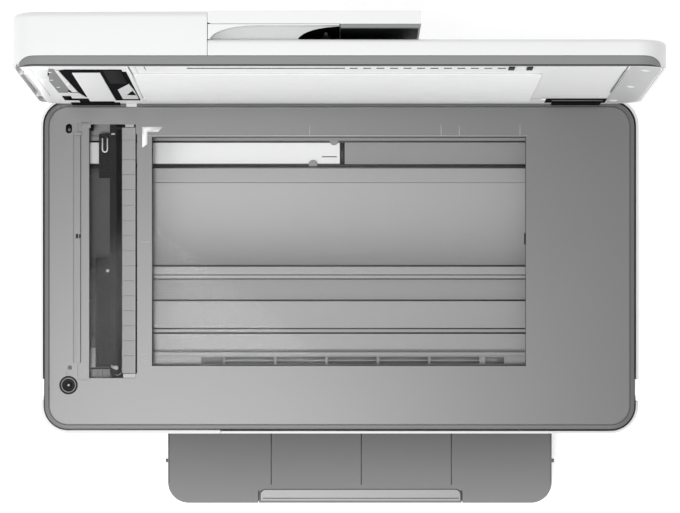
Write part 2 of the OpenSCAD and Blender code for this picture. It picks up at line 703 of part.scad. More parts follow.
module scan_glass() color("lightcyan") {
    block([window_l - 4.5, window_r + 4.5], [window_f - 4.5, window_b + 4.5], [glass_z - 3, glass_z]);
    block([strip_l - 3, strip_r + 3], [strip_f - 2.5, strip_b + 2.5], [glass_z - 3, glass_z]);
}

// contact image sensor on its sliding carrier, parked under the narrow glass
module cis_carriage() color([0.17, 0.17, 0.17]) {
    difference() {
        block([-222.3, -204], [-112, 138], [floor_z + 10.5, 218]);
        block([-216, -209], [-106, 132], [217, 219]);
    }
    block([-236.5, -222], [-98.6, 7.4], [floor_z + 10.5, 214]);
    block([-233, -222], [85, 127.7], [floor_z + 10.5, 215]);
    block([-244, -204], [-112, -99.5], [floor_z + 10.5, 212]);
    rod_z(3, gear_at, scan_gear_y, [floor_z + 9.2, floor_z + 11]);
    rod_z(1.5, gear_at, scan_gear_y, [floor_z + 5.4, floor_z + 10]);
}

module cis_gear() color("white") translate([gear_at, scan_gear_y, floor_z + 5.4])
    gear(12, 3, 0, 1.56, scan_m);

module scan_ribbon() color("whitesmoke") {
    block([-250, 0.4], [99.5, 119.5], [floor_z + 0.1, floor_z + 0.5]);
    block([-250, -249.6], [99.5, 119.5], [floor_z + 0.1, floor_z + 14]);
    block([-250, -233.4], [99.5, 119.5], [floor_z + 13.6, floor_z + 14]);
}

module hinge_brackets() color([0.12, 0.12, 0.12]) for (c = hinge_x) {
    block([c - 23, c + 23], [155.3, 158.5], [glass_z - 3.4, deck_z + 1.3]);
    for (x = [c - 23, c + 17]) {
        rod_x(6, [x, x + 6], hinge_y, hinge_z);
        block([x, x + 6], [155.3, hinge_y], [deck_z, hinge_z]);
    }
    rod_x(2.5, [c - 20, c + 20], hinge_y, hinge_z);
}

// ---------- lid and document feeder, drawn closed ----------

// front profile of the grey band: level, and falling away towards both corners
module band_profile(grow) {
    level = 270;     // half width of the level part
    fall = 13;       // width of the part that falls away
    curve = [for (t = [0:15:90]) [level + (fall + grow) * sin(t), lid_z + (band_t + grow) * cos(t)]];
    polygon(concat([for (p = curve) p], [[level + fall + grow, lid_z - 2], [-level - fall - grow, lid_z - 2]],
        [for (i = [len(curve) - 1:-1:0]) [-curve[i][0], curve[i][1]]]));
}

module band_cut(grow) translate([0, -100, 0]) rotate([90, 0, 0]) linear_extrude(100) band_profile(grow);

module lid_band() opened() color("gray") intersection() {
    round_ring(body_w, body_d, corner_r, wall, [lid_z, lid_z + 20]);
    band_cut(0);
}

module hinge_gap(z) for (c = hinge_x) block([c - 24, c + 24], [151, hd + 5], z);

module lid_base() opened() color("white") {
    difference() {
        union() {
            round_plate(body_w - 2 * wall - 1.6, body_d - 2 * wall - 1.6, corner_r - wall,
                [lid_z, lid_z + 2.5]);
            round_ring(body_w - 2 * wall - 1.6, body_d - 2 * wall - 1.6, corner_r - wall, 2,
                [lid_z + 2, lid_z + 8]);
            for (y = [-140:40:140]) block([-100, 270], [y, y + 1.6], [lid_z + 2.4, lid_z + 8]);
        }
        block([-262, -190], [-117, 138], [lid_z - 1, lid_z + 10]);
        block([-hw, -281], [-hd, hd], [lid_z - 1, lid_z + 10]);
        block([192, 268], [-128, 128], [lid_z - 1, lid_z + 0.8]);
        hinge_gap([lid_z - 1, lid_z + 12]);
        for (x = [-150:11.8:160]) block([x, x + 7], [-148, -145.4], [lid_z - 1, lid_z + 1]);
        for (c = hinge_x) block([c - 17, c + 17], [115, 155], [lid_z + 2.5, lid_z + 12]);
    }
    // lugs and pins of the feeder cover's hinge
    for (y = cover_hinge_y) {
        block([cover_pivot_x - 1, -279.5], [y + 10.4, y + 14.4], [cover_pivot_z - 1, cover_pivot_z + 1]);
        rod_y(1, cover_pivot_x, [y + 1, y + 14.4], cover_pivot_z);
    }
}

module lid_cover() opened() color("white") difference() {
    intersection() {
        soft_slab(body_w, body_d, corner_r, [lid_z, lid_z + lid_t], 4);
        block([feeder_r + 0.4, hw + 1], [-hd - 1, hd + 1], [lid_z - 1, lid_z + lid_t + 1]);
    }
    intersection() {
        round_plate(body_w - 2 * wall, body_d - 2 * wall, corner_r - wall, [lid_z - 1, lid_z + lid_t - 3]);
        block([feeder_r + 2.9, hw], [-hd, hd], [lid_z - 2, lid_z + lid_t]);
    }
    round_plate(body_w - 2 * wall, body_d - 2 * wall, corner_r - wall, [lid_z - 1, lid_z + 2.5]);
    band_cut(0.4);
    hinge_gap([lid_z - 1, lid_z + 12]);
    block([feeder_r, -90], [-hd + 2, hd - 2], [lid_z + 2, lid_z + 8.4]);
}

module backing_pad() opened() color("white") translate([-1.5, 12, 0])
    round_plate(366, 236, 6, [lid_z - 1.6, lid_z]);

module hinge_arms() opened() color([0.25, 0.25, 0.25]) for (c = hinge_x) difference() {
    union() {
        rod_x(5.2, [c - 16.6, c + 16.6], hinge_y, hinge_z);
        block([c - 14, c + 14], [139, hinge_y], [lid_z + 2.6, lid_z + 6]);
    }
    rod_x(2.56, [c - 20, c + 20], hinge_y, hinge_z);
    rod_z(2, c, 146, [lid_z, lid_z + 8]);
}

// white cover over the feeder, hinged along its left end
module feeder_cover() opened() color("white") difference() {
    union() {
        difference() {
            intersection() {
                soft_slab(body_w, body_d, corner_r, [lid_z, lid_z + feeder_t], 6);
                block([-hw - 1, feeder_r], [-hd - 1, hd + 1], [lid_z - 1, lid_z + feeder_t + 1]);
            }
            round_plate(body_w - 2 * wall, body_d - 2 * wall, corner_r - wall,
                [lid_z - 1, lid_z + feeder_t - 3]);
        }
        for (y = cover_hinge_y) rod_y(2.3, cover_pivot_x, [y, y + 10], cover_pivot_z);
    }
    for (y = cover_hinge_y) rod_y(1.05, cover_pivot_x, [y - 1, y + 11], cover_pivot_z);
    band_cut(0.4);
    block([-hw - 1, -280], [-hd - 1, -143], [lid_z - 1, lid_z + 3.4]);
    hinge_gap([lid_z - 1, lid_z + 12]);
}

// black frame with the white pressure plate over the narrow glass, and the end wall of the paper outlet
module feeder_frame() opened() {
    color("black") difference() {
        union() {
            block([-261.5, -190.5], [-116.5, 137.5], [lid_z + 0.4, lid_z + 10]);
            for (y = [-141, 139.5]) {
                block([-275, -120], [y, y + 2.5], [lid_z + 6.6, lid_z + 42]);
                for (x = [-275, -128]) block([x, x + 8], [y, y + 2.5], [lid_z + 2.5, lid_z + 7]);
            }
            for (x = [-275, -124]) block([x, x + 2.5], [-140, 141], [lid_z + 6.6, lid_z + 16]);
            block([-275, -124], [-40, -34], [lid_z + 9, lid_z + 12]);
        }
        block([strip_l + 2, strip_r - 2], [-112, 133], [lid_z - 1, lid_z + 13]);
        for (y = [-100:25:110]) block([-207, -196], [y, y + 16], [lid_z, lid_z + 6]);
        rod_y(3.05, roller_x, [-150, 150], roller_z);
    }
    color("white") block([strip_l + 3.5, strip_r - 3.5], [-111, 132], [lid_z - 1, lid_z + 8]);
    // housing left of the paper outlet, behind a front wall with the same large curve
    color("white") intersection() {
        block([feeder_r + 0.6, 0], [-hd, 140.5], [lid_z + lid_t, lid_z + feeder_t - 11.9]);
        difference() {
            block([feeder_r, 0], [-hd - 1, 150], [lid_z, lid_z + feeder_t]);
            outlet_cut(-72, 42, [-hd - 1, -hd + 9.5]);
            outlet_cut(3, 40, [-hd + 9.4, 150]);
        }
    }
    // lugs and pins of the input tray's hinge
    color("white") for (y = tray_hinge_y) {
        block([flap_x - 2, flap_x + 3], [y, y + 4], [lid_z + feeder_t - 14, flap_z + 1.7]);
        rod_y(1.5, flap_x, [y - 5, y + 9], flap_z);
    }
}

module feeder_roller() opened() {
    color("silver") rod_y(3, roller_x, [-141.4, 142.4], roller_z);
    color("dimgray") for (y = [-110:55:110]) rod_y(11, roller_x, [y - 14, y + 14], roller_z);
}

// white input tray that swings up over the paper outlet
module feeder_tray() opened() color("white") difference() {
    union() {
        hull() {
            block([flap_x - 1.3, 72], [-hd, 150], [lid_z + feeder_t - 11.5, flap_z]);
            block([flap_x - 4.6, 72], [-hd, 150], [lid_z + feeder_t - 10.3, flap_z]);
            block([flap_x - 3.6, 72], [-hd, 150], [flap_z, lid_z + feeder_t]);
        }
        block([1, 70.5], [-hd + 1, 149], [lid_z + feeder_t - 15, lid_z + feeder_t - 11]);
    }
    block([-80, 80], [-hd + 9, 141], [lid_z + feeder_t - 18, lid_z + feeder_t - 11.5]);
    block([flap_x - 5, 62], [-hd + 9, 141], [lid_z + feeder_t - 9.4, lid_z + feeder_t + 1]);
    for (y = tray_hinge_y) block([flap_x - 5, flap_x + 5.5], [y - 0.6, y + 4.6],
        [lid_z + feeder_t - 14, lid_z + feeder_t + 1]);
    for (y = tray_hinge_y) rod_y(1.55, flap_x, [y - 6, y + 10], flap_z);
    for (y = [[-108, -38], [38, 108]]) block([-42, -37], y, [lid_z + feeder_t - 12, lid_z + feeder_t - 9]);
}

// outlet under the input tray, over the depth y, with a large curve of the given width that ends at x = right
module outlet_cut(right, width, y) translate([0, y[1], 0]) rotate([90, 0, 0]) linear_extrude(y[1] - y[0])
    polygon(concat([[80, lid_z + lid_t - 1], [80, lid_z + feeder_t - 12.9]],
        [for (t = [0:10:90])
            [right - width * sin(t), lid_z + lid_t - 1 + (feeder_t - lid_t - 11.9) * cos(t)]]));

module feeder_guide(side) opened() color("silver") translate([0, side * 106, 0])
    mirror([0, side < 0 ? 0 : 1, 0]) {
        block([-100, 20], [-1.2, 1.2], [lid_z + feeder_t - 9, lid_z + feeder_t - 0.6]);
        block([-60, -20], [0, 22], [lid_z + feeder_t - 9, lid_z + feeder_t - 8]);
        block([-41.4, -37.6], [0, 8], [lid_z + feeder_t - 11.3, lid_z + feeder_t - 8.9]);
    }

// ---------- drawing ----------

base_pan();
rubber_feet();
side_cover(-1);  // side_cover_left
side_cover(1);  // side_cover_right
rear_cover();
front_frame();
panel_housing();
side_plates();
guide_rail();
carriage_belt();
drive_motors();
platen();
star_wheel_holder();
service_station();
power_supply();
main_board();
case_screws();
print_carriage();
cartridge(0, "black");  // cartridge_black
cartridge(1, "cyan");  // cartridge_cyan
cartridge(2, "magenta");  // cartridge_magenta
cartridge(3, "yellow");  // cartridge_yellow
pulley(-belt_x);  // drive_pulley
pulley(belt_x);  // idler_pulley
feed_roller();
eject_roller();
idler_gear();
motor_pinion();
pickup_arm();
pickup_roller();
cassette();
width_guide(true);  // width_guide_left
width_guide(false);  // width_guide_right
width_pinion();
length_guide();
output_tray();
output_extension();
touch_panel();
power_button();
front_door();
rear_door();
scanner_skirt();
scanner_tub();
scanner_deck();
scan_glass();
cis_carriage();
cis_gear();
scan_ribbon();
hinge_brackets();
lid_base();
lid_band();
lid_cover();
backing_pad();
hinge_arms();
feeder_cover();
feeder_frame();
feeder_roller();
feeder_tray();
feeder_guide(-1);  // feeder_guide_front
feeder_guide(1);  // feeder_guide_rear
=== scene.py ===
"""Looks of the wide inkjet printer with its scanner lid open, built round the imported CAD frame."""
import math

import bmesh
import bpy
from mathutils import Matrix, Vector


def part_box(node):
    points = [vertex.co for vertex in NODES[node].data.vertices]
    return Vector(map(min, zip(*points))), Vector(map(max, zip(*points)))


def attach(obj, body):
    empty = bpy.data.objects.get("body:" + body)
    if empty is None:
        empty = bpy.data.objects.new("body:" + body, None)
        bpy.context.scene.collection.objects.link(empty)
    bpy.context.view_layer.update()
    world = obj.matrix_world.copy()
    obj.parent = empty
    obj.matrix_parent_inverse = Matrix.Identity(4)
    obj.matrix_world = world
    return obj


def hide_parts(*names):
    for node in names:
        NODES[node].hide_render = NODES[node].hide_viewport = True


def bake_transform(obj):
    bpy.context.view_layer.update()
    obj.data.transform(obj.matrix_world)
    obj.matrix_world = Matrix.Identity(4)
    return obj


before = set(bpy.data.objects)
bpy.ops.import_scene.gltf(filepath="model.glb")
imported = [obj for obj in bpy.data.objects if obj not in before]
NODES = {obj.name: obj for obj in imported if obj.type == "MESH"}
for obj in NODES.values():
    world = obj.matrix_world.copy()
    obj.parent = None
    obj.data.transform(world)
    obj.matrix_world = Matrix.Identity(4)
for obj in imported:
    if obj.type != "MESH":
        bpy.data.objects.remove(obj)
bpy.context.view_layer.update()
MM = 0.001

# ---------- places that the CAD model fixes, in millimetres ----------


def span(node):
    """Lowest and highest corner of a CAD node in millimetres."""
    low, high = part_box(node)
    return low / MM, high / MM


HINGE_Y, HINGE_Z = 161.5, 232.0          # hinge of the lid
LID_ANGLE = 93.5
DECK_Z = 225.0
GLASS_Z = 223.0
FLOOR_Z = 194.0
LID_Z = 227.0                            # underside of the closed lid
TRAY_Z = 66.0
WINDOW = (-181.2, 180.2, -96.9, 124.4)   # document glass: left, right, front, back
STRIP = (-242.0, -210.0, -108.6, 136.6)  # narrow glass of the feeder, in the same order
DECK_RADIUS = 23.5                       # corner radius of the deck
SOCKET = (-261.8, -115.4)                # damper socket in the deck
RACK_START, RACK_END = -236.0, 203.0
RACK_PITCH = 0.65 * math.pi              # module of the rack times pi
FLOOR_X = (-264, 264)
POCKET_Y = (-95.2, -88.9)                # pockets of the scanner floor, in front of the rack
LID_HALF_W, LID_HALF_D, LID_RADIUS = 289.5, 162.5, 27.0
OUTLET_Z = LID_Z + 24                    # floor of the feeder's outlet


# ---------- materials ----------


def base_material(name):
    material = bpy.data.materials.new(name)
    material.use_nodes = True
    tree = material.node_tree
    return material, tree, tree.nodes["Principled BSDF"]


def add(tree, kind, **inputs):
    node = tree.nodes.new(kind)
    for key, value in inputs.items():
        node.inputs[key.replace("_", " ")].default_value = value
    return node


def ramp(tree, source, low, high, positions=(0.3, 0.7)):
    """Colour ramp from low to high over a factor."""
    node = tree.nodes.new("ShaderNodeValToRGB")
    for element, position, colour in zip(node.color_ramp.elements, positions, (low, high)):
        element.position = position
        element.color = (*colour, 1)
    tree.links.new(source, node.inputs[0])
    return node.outputs[0]


def scaled(rgb, factor):
    return tuple(min(1.0, c * factor) for c in rgb)


def plastic(name, rgb, roughness, grain=1500.0, depth=0.00002, variation=0.03, specular=0.5, coat=0.0,
            stretch=(1, 1, 1), spread=0.05):
    """Moulded plastic: a fine eroded grain, a faint cloudiness, and roughness that varies with both."""
    material, tree, shader = base_material(name)
    place = add(tree, "ShaderNodeTexCoord")
    mapping = tree.nodes.new("ShaderNodeMapping")
    mapping.inputs["Scale"].default_value = stretch
    tree.links.new(place.outputs["Object"], mapping.inputs["Vector"])
    cloud = add(tree, "ShaderNodeTexNoise", Scale=9.0, Detail=3.0)
    fine = add(tree, "ShaderNodeTexNoise", Scale=grain, Detail=2.0, Roughness=0.6)
    speck = add(tree, "ShaderNodeTexVoronoi", Scale=grain * 0.6)
    for node in (cloud, fine, speck):
        tree.links.new(mapping.outputs[0], node.inputs["Vector"])
    colour = ramp(tree, cloud.outputs["Fac"], scaled(rgb, 1 - variation), scaled(rgb, 1 + variation))
    tree.links.new(colour, shader.inputs["Base Color"])
    rough = add(tree, "ShaderNodeMapRange")
    rough.inputs["To Min"].default_value = roughness - spread
    rough.inputs["To Max"].default_value = roughness + spread
    tree.links.new(fine.outputs["Fac"], rough.inputs["Value"])
    tree.links.new(rough.outputs[0], shader.inputs["Roughness"])
    height = add(tree, "ShaderNodeMath")
    height.operation = "ADD"
    tree.links.new(fine.outputs["Fac"], height.inputs[0])
    tree.links.new(speck.outputs["Distance"], height.inputs[1])
    bump = add(tree, "ShaderNodeBump", Strength=0.5, Distance=depth)
    tree.links.new(height.outputs[0], bump.inputs["Height"])
    tree.links.new(bump.outputs[0], shader.inputs["Normal"])
    shader.inputs["Specular IOR Level"].default_value = specular
    shader.inputs["Coat Weight"].default_value = coat
    shader.inputs["Coat Roughness"].default_value = 0.15
    return material


def paint_back_shade(material, front, back, share):
    """Painted shade: darkens a plastic's colour towards the back of a piece, down to a share of it."""
    tree = material.node_tree
    shader = next(node for node in tree.nodes if node.type == "BSDF_PRINCIPLED")
    source = shader.inputs["Base Color"].links[0].from_socket
    place = add(tree, "ShaderNodeTexCoord")
    axes = add(tree, "ShaderNodeSeparateXYZ")
    tree.links.new(place.outputs["Object"], axes.inputs[0])
    depth = add(tree, "ShaderNodeMapRange")
    for name, value in (("From Min", front), ("From Max", back), ("To Min", 1.0), ("To Max", share)):
        depth.inputs[name].default_value = value
    tree.links.new(axes.outputs["Y"], depth.inputs["Value"])
    scale = add(tree, "ShaderNodeVectorMath")
    scale.operation = "SCALE"
    tree.links.new(source, scale.inputs[0])
    tree.links.new(depth.outputs[0], scale.inputs["Scale"])
    tree.links.new(scale.outputs[0], shader.inputs["Base Color"])


def metal(name, rgb, roughness, stretch):
    """Drawn or rolled metal, with fine scratches along one axis."""
    material, tree, shader = base_material(name)
    place = add(tree, "ShaderNodeTexCoord")
    mapping = tree.nodes.new("ShaderNodeMapping")
    mapping.inputs["Scale"].default_value = stretch
    tree.links.new(place.outputs["Object"], mapping.inputs["Vector"])
    scratch = add(tree, "ShaderNodeTexNoise", Scale=900.0, Detail=4.0, Roughness=0.7)
    tree.links.new(mapping.outputs[0], scratch.inputs["Vector"])
    colour = ramp(tree, scratch.outputs["Fac"], scaled(rgb, 0.85), scaled(rgb, 1.1))
    tree.links.new(colour, shader.inputs["Base Color"])
    rough = add(tree, "ShaderNodeMapRange")
    rough.inputs["To Min"].default_value = roughness - 0.08
    rough.inputs["To Max"].default_value = roughness + 0.12
    tree.links.new(scratch.outputs["Fac"], rough.inputs["Value"])
    tree.links.new(rough.outputs[0], shader.inputs["Roughness"])
    bump = add(tree, "ShaderNodeBump", Strength=0.3, Distance=0.00002)
    tree.links.new(scratch.outputs["Fac"], bump.inputs["Height"])
    tree.links.new(bump.outputs[0], shader.inputs["Normal"])
    shader.inputs["Metallic"].default_value = 1.0
    return material


def glass(name):
    """Clear float glass: nearly all light passes, with a faint cool tint and sharp gloss."""
    material, tree, shader = base_material(name)
    place = add(tree, "ShaderNodeTexCoord")
    smear = add(tree, "ShaderNodeTexNoise", Scale=14.0, Detail=4.0)
    tree.links.new(place.outputs["Object"], smear.inputs["Vector"])
    tree.links.new(ramp(tree, smear.outputs["Fac"], (0.05, 0.05, 0.05), (0.07, 0.07, 0.07)),
                   shader.inputs["Base Color"])
    rough = add(tree, "ShaderNodeMapRange")
    rough.inputs["To Min"].default_value = 0.02
    rough.inputs["To Max"].default_value = 0.06
    tree.links.new(smear.outputs["Fac"], rough.inputs["Value"])
    tree.links.new(rough.outputs[0], shader.inputs["Roughness"])
    shader.inputs["Alpha"].default_value = 0.04
    shader.inputs["Specular IOR Level"].default_value = 0.25
    return material


def foam(name, rgb):
    """Sheet of white foam under a smooth film: soft, with a very fine uneven face."""
    material, tree, shader = base_material(name)
    place = add(tree, "ShaderNodeTexCoord")
    cell = add(tree, "ShaderNodeTexVoronoi", Scale=900.0)
    wave = add(tree, "ShaderNodeTexNoise", Scale=60.0, Detail=4.0)
    for node in (cell, wave):
        tree.links.new(place.outputs["Object"], node.inputs["Vector"])
    tree.links.new(ramp(tree, wave.outputs["Fac"], scaled(rgb, 0.97), scaled(rgb, 1.02)),
                   shader.inputs["Base Color"])
    bump = add(tree, "ShaderNodeBump", Strength=0.35, Distance=0.00006)
    tree.links.new(cell.outputs["Distance"], bump.inputs["Height"])
    tree.links.new(bump.outputs[0], shader.inputs["Normal"])
    shader.inputs["Roughness"].default_value = 0.75
    shader.inputs["Sheen Weight"].default_value = 0.15
    return material


WHITE = plastic("white_shell", (0.685, 0.688, 0.691), 0.36, depth=0.00003, variation=0.012)
WHITE_SMOOTH = plastic("white_smooth", (0.79, 0.793, 0.796), 0.3, grain=700.0, depth=0.000008, variation=0.01)
GREY = plastic("grey_deck", (0.095, 0.0955, 0.096), 0.31, grain=1700.0, variation=0.02, specular=0.62,
               spread=0.03)
GREY_FLOOR = plastic("grey_floor", (0.215, 0.216, 0.217), 0.33, grain=1100.0, variation=0.02, specular=0.6)
GREY_TRAY = plastic("grey_tray", (0.185, 0.186, 0.187), 0.42, grain=1500.0, variation=0.02, specular=0.3)
# painted shade: the tray's colour darkens to half towards the casing, where the casing shades it
paint_back_shade(GREY_TRAY, -0.236, -0.168, 0.5)
GREY_BAND = plastic("grey_band", (0.20, 0.202, 0.205), 0.32, variation=0.015)
PALE = plastic("pale_inner", (0.50, 0.505, 0.51), 0.38, variation=0.02)
BLACK = plastic("black_plastic", (0.012, 0.012, 0.013), 0.5, variation=0.05, specular=0.25)
SENSOR_BLACK = plastic("sensor_black", (0.021, 0.021, 0.022), 0.7, variation=0.05, specular=0.08)
# painted shade: a darker copy of the floor grey, for the floor's shaded left end
FLOOR_PAINTED_SHADE = plastic("floor_painted_shade", (0.15, 0.151, 0.152), 0.6, grain=1100.0, variation=0.02, specular=0.15)
MATT_BLACK = plastic("matt_black", (0.010, 0.010, 0.011), 0.9, variation=0.05, specular=0.0)
SOFT_WHITE = plastic("soft_white", (0.58, 0.582, 0.585), 0.5, variation=0.015, specular=0.3)
PALE_END = plastic("end_plastic", (0.42, 0.422, 0.425), 0.5, variation=0.015, specular=0.3)
MATT_GREY = plastic("matt_grey", (0.20, 0.201, 0.202), 0.8, variation=0.03, specular=0.1)
CHARCOAL = plastic("charcoal_plastic", (0.05, 0.05, 0.052), 0.42, variation=0.04)
GLOSS_BLACK = plastic("screen_black", (0.006, 0.006, 0.008), 0.09, grain=300.0, depth=0.000002, coat=0.6,
                      spread=0.02)
RUBBER = plastic("rubber", (0.022, 0.022, 0.023), 0.78, grain=900.0, depth=0.00008, variation=0.06)
STEEL = metal("steel_sheet", (0.58, 0.585, 0.6), 0.32, (0.15, 1, 1))
SHAFT = metal("steel_shaft", (0.66, 0.665, 0.68), 0.2, (1, 0.2, 0.2))
GLASS = glass("clear_glass")
FOAM = foam("white_foam", (0.65, 0.653, 0.656))
BOARD = plastic("board_green", (0.02, 0.11, 0.05), 0.35, grain=400.0, variation=0.15)
GEAR = plastic("gear_plastic", (0.74, 0.74, 0.7), 0.4, variation=0.02)
INK = plastic("white_print", (0.84, 0.84, 0.84), 0.5, grain=2500.0, depth=0.000006, variation=0.01)
PALE_GREY = plastic("ramp_grey", (0.23, 0.231, 0.232), 0.31, grain=1700.0, variation=0.02)
GREY_DARK = plastic("grey_dark", (0.075, 0.076, 0.077), 0.36, variation=0.02)
INK_BLACK = plastic("rib_black", (0.035, 0.035, 0.036), 0.9, variation=0.05, specular=0.0)
INK_GREY = plastic("grey_print", (0.40, 0.405, 0.41), 0.5, grain=2500.0, depth=0.000006, variation=0.01)
RIBBON = plastic("ribbon_film", (0.86, 0.862, 0.865), 0.3, grain=700.0, depth=0.00002, variation=0.02,
                 stretch=(0.02, 1, 1))
CYAN = plastic("label_cyan", (0.01, 0.28, 0.42), 0.35)
MAGENTA = plastic("label_magenta", (0.42, 0.02, 0.17), 0.35)
YELLOW = plastic("label_yellow", (0.7, 0.5, 0.02), 0.35)


# ---------- finish of the CAD nodes that stay ----------


# nodes whose large faces are pierced: joining such a face into one polygon would close its openings
PIERCED = {"rear_cover", "platen", "base_pan", "side_cover_left", "side_cover_right", "power_supply",
           "service_station", "guide_rail", "rear_door", "front_door", "output_extension", "panel_housing",
           "lid_base", "feeder_frame", "drive_motors"}


def dress(nodes, material, bevel=0.4):
    """Gives CAD nodes a material and small rounded edges."""
    for name in nodes:
        obj = NODES[name]
        obj.data.materials.clear()
        obj.data.materials.append(material)
        obj.data.polygons.foreach_set("material_index", [0] * len(obj.data.polygons))
        obj.data.polygons.foreach_set("use_smooth", [True] * len(obj.data.polygons))
        round_edges(obj, bevel, flatten=name not in PIERCED)


def paint(node, material, test, lid=False):
    """Second material on the faces of a CAD node whose middle passes the test, in millimetres."""
    obj = NODES[node]
    obj.data.materials.append(material)
    slot = len(obj.data.materials) - 1
    for face in obj.data.polygons:
        middle = face.center / MM
        if test(*(closed_place(middle) if lid else middle)):
            face.material_index = slot


def round_edges(obj, width, weld=True, angle=32, flatten=True):
    """Small round edges, after closing the seams of a CAD node and joining its coplanar triangles."""
    if weld:
        obj.modifiers.new("weld", "WELD").merge_threshold = 0.00002
    if weld and flatten:
        flat = obj.modifiers.new("flat", "DECIMATE")
        flat.decimate_type = "DISSOLVE"
        flat.angle_limit = math.radians(1.0)
        flat.delimit = {"MATERIAL"}
    edge = obj.modifiers.new("edge", "BEVEL")
    edge.width = width * MM
    edge.segments = 2
    edge.limit_method = "ANGLE"
    edge.angle_limit = math.radians(angle)
    edge.miter_outer = "MITER_ARC"
    normal = obj.modifiers.new("normal", "WEIGHTED_NORMAL")
    normal.keep_sharp = False


TILT = Matrix.Rotation(math.radians(-LID_ANGLE), 3, "X")
PIVOT = Vector((0, HINGE_Y, HINGE_Z))


def opened_place(point):
    """Place of a lid point, given for the closed lid, once the lid stands open."""
    return TILT @ (Vector(point) - PIVOT) + PIVOT


def closed_place(point):
    return TILT.inverted() @ (Vector(point) - PIVOT) + PIVOT


dress(["side_cover_left", "side_cover_right", "rear_cover", "front_frame", "panel_housing", "front_door",
       "rear_door", "scanner_skirt", "lid_cover", "feeder_cover", "feeder_tray"], WHITE)
dress(["lid_base"], WHITE_SMOOTH)
dress(["scanner_tub"], GREY_FLOOR, 0.4)
dress(["output_tray", "output_extension"], GREY_TRAY, 0.5)
dress(["lid_band"], GREY_BAND, 0.4)
dress(["cassette", "base_pan"], PALE, 0.5)
dress(["backing_pad"], FOAM, 0.5)
dress(["cis_carriage"], SENSOR_BLACK, 0.4)
dress(["star_wheel_holder"], BLACK, 0.4)
dress(["hinge_brackets", "hinge_arms", "feeder_frame"], MATT_BLACK, 0.4)
dress(["print_carriage", "service_station", "platen", "pickup_arm", "power_supply"], CHARCOAL)
dress(["rubber_feet", "carriage_belt"], RUBBER, 0.3)
dress(["side_plates", "guide_rail", "drive_motors"], STEEL, 0.2)
dress(["case_screws"], SHAFT, 0.2)
dress(["feed_roller", "eject_roller", "feeder_roller", "pickup_roller"], RUBBER, 0.3)
dress(["idler_gear", "motor_pinion", "width_pinion", "cis_gear", "drive_pulley", "idler_pulley"], GEAR, 0.1)
dress(["width_guide_left", "width_guide_right", "length_guide", "feeder_guide_front", "feeder_guide_rear",
       "power_button"], PALE, 0.3)
dress(["touch_panel"], WHITE, 0.4)
dress(["main_board"], BOARD, 0.2)
dress(["scan_glass"], GLASS, 0.2)
dress(["cartridge_black"], BLACK, 0.5)
dress(["cartridge_cyan"], CYAN, 0.5)
dress(["cartridge_magenta"], MAGENTA, 0.5)
dress(["cartridge_yellow"], YELLOW, 0.5)

paint("touch_panel", GLOSS_BLACK, lambda x, y, z: -251 < x < -132 and 138.3 < z < 201.7 and y < -161.05)
paint("feeder_frame", WHITE, lambda x, y, z: z > LID_Z + 22.5 and x > -116.2, lid=True)
paint("feeder_frame", SOFT_WHITE,
      lambda x, y, z: z > LID_Z + 22.5 and x > -116.2 and -153.2 < y < 142, lid=True)
paint("feeder_tray", GREY_BAND, lambda x, y, z: z < LID_Z + 37.3 and x > 0.5, lid=True)
paint("feeder_frame", WHITE_SMOOTH,
      lambda x, y, z: -239 < x < -213 and z < LID_Z + 8.5 and -111.5 < y < 132.5, lid=True)
# painted shade: the inside at the back of the outlet is made black, for its deep shade
paint("feeder_frame", MATT_BLACK, lambda x, y, z: z > LID_Z + 23.2 and x > -36 and -150 < y < 142, lid=True)
for shaft, place_y, place_z in (("feed_roller", 20, 100), ("eject_roller", -40, 100)):
    paint(shaft, SHAFT, lambda x, y, z: math.hypot(y - place_y, z - place_z) < 4.5)
    paint(shaft, GEAR, lambda x, y, z: x < -270.5)
paint("pickup_roller", SHAFT, lambda x, y, z: not 7.5 < x < 32.5)
paint("feeder_roller", SHAFT, lambda x, y, z: math.hypot(x + 246, z - LID_Z - 26) < 3.5, lid=True)
paint("drive_motors", BLACK, lambda x, y, z: y > 92.5 or x > -238.2 and y < 60 and z < 120)
paint("main_board", BLACK, lambda x, y, z: x < 275.5 and not 265 < x < 276.1 or y > 130.5)
paint("main_board", STEEL, lambda x, y, z: 265.5 < x < 275.9 and 98 < y < 124 and z < 102)
paint("power_supply", BLACK, lambda x, y, z: y > 122)
paint("power_supply", SHAFT, lambda x, y, z: y > 139.5 and abs(x + 241.5) < 6 and 24.5 < z < 32.5)

# ---------- making pieces, in millimetres ----------


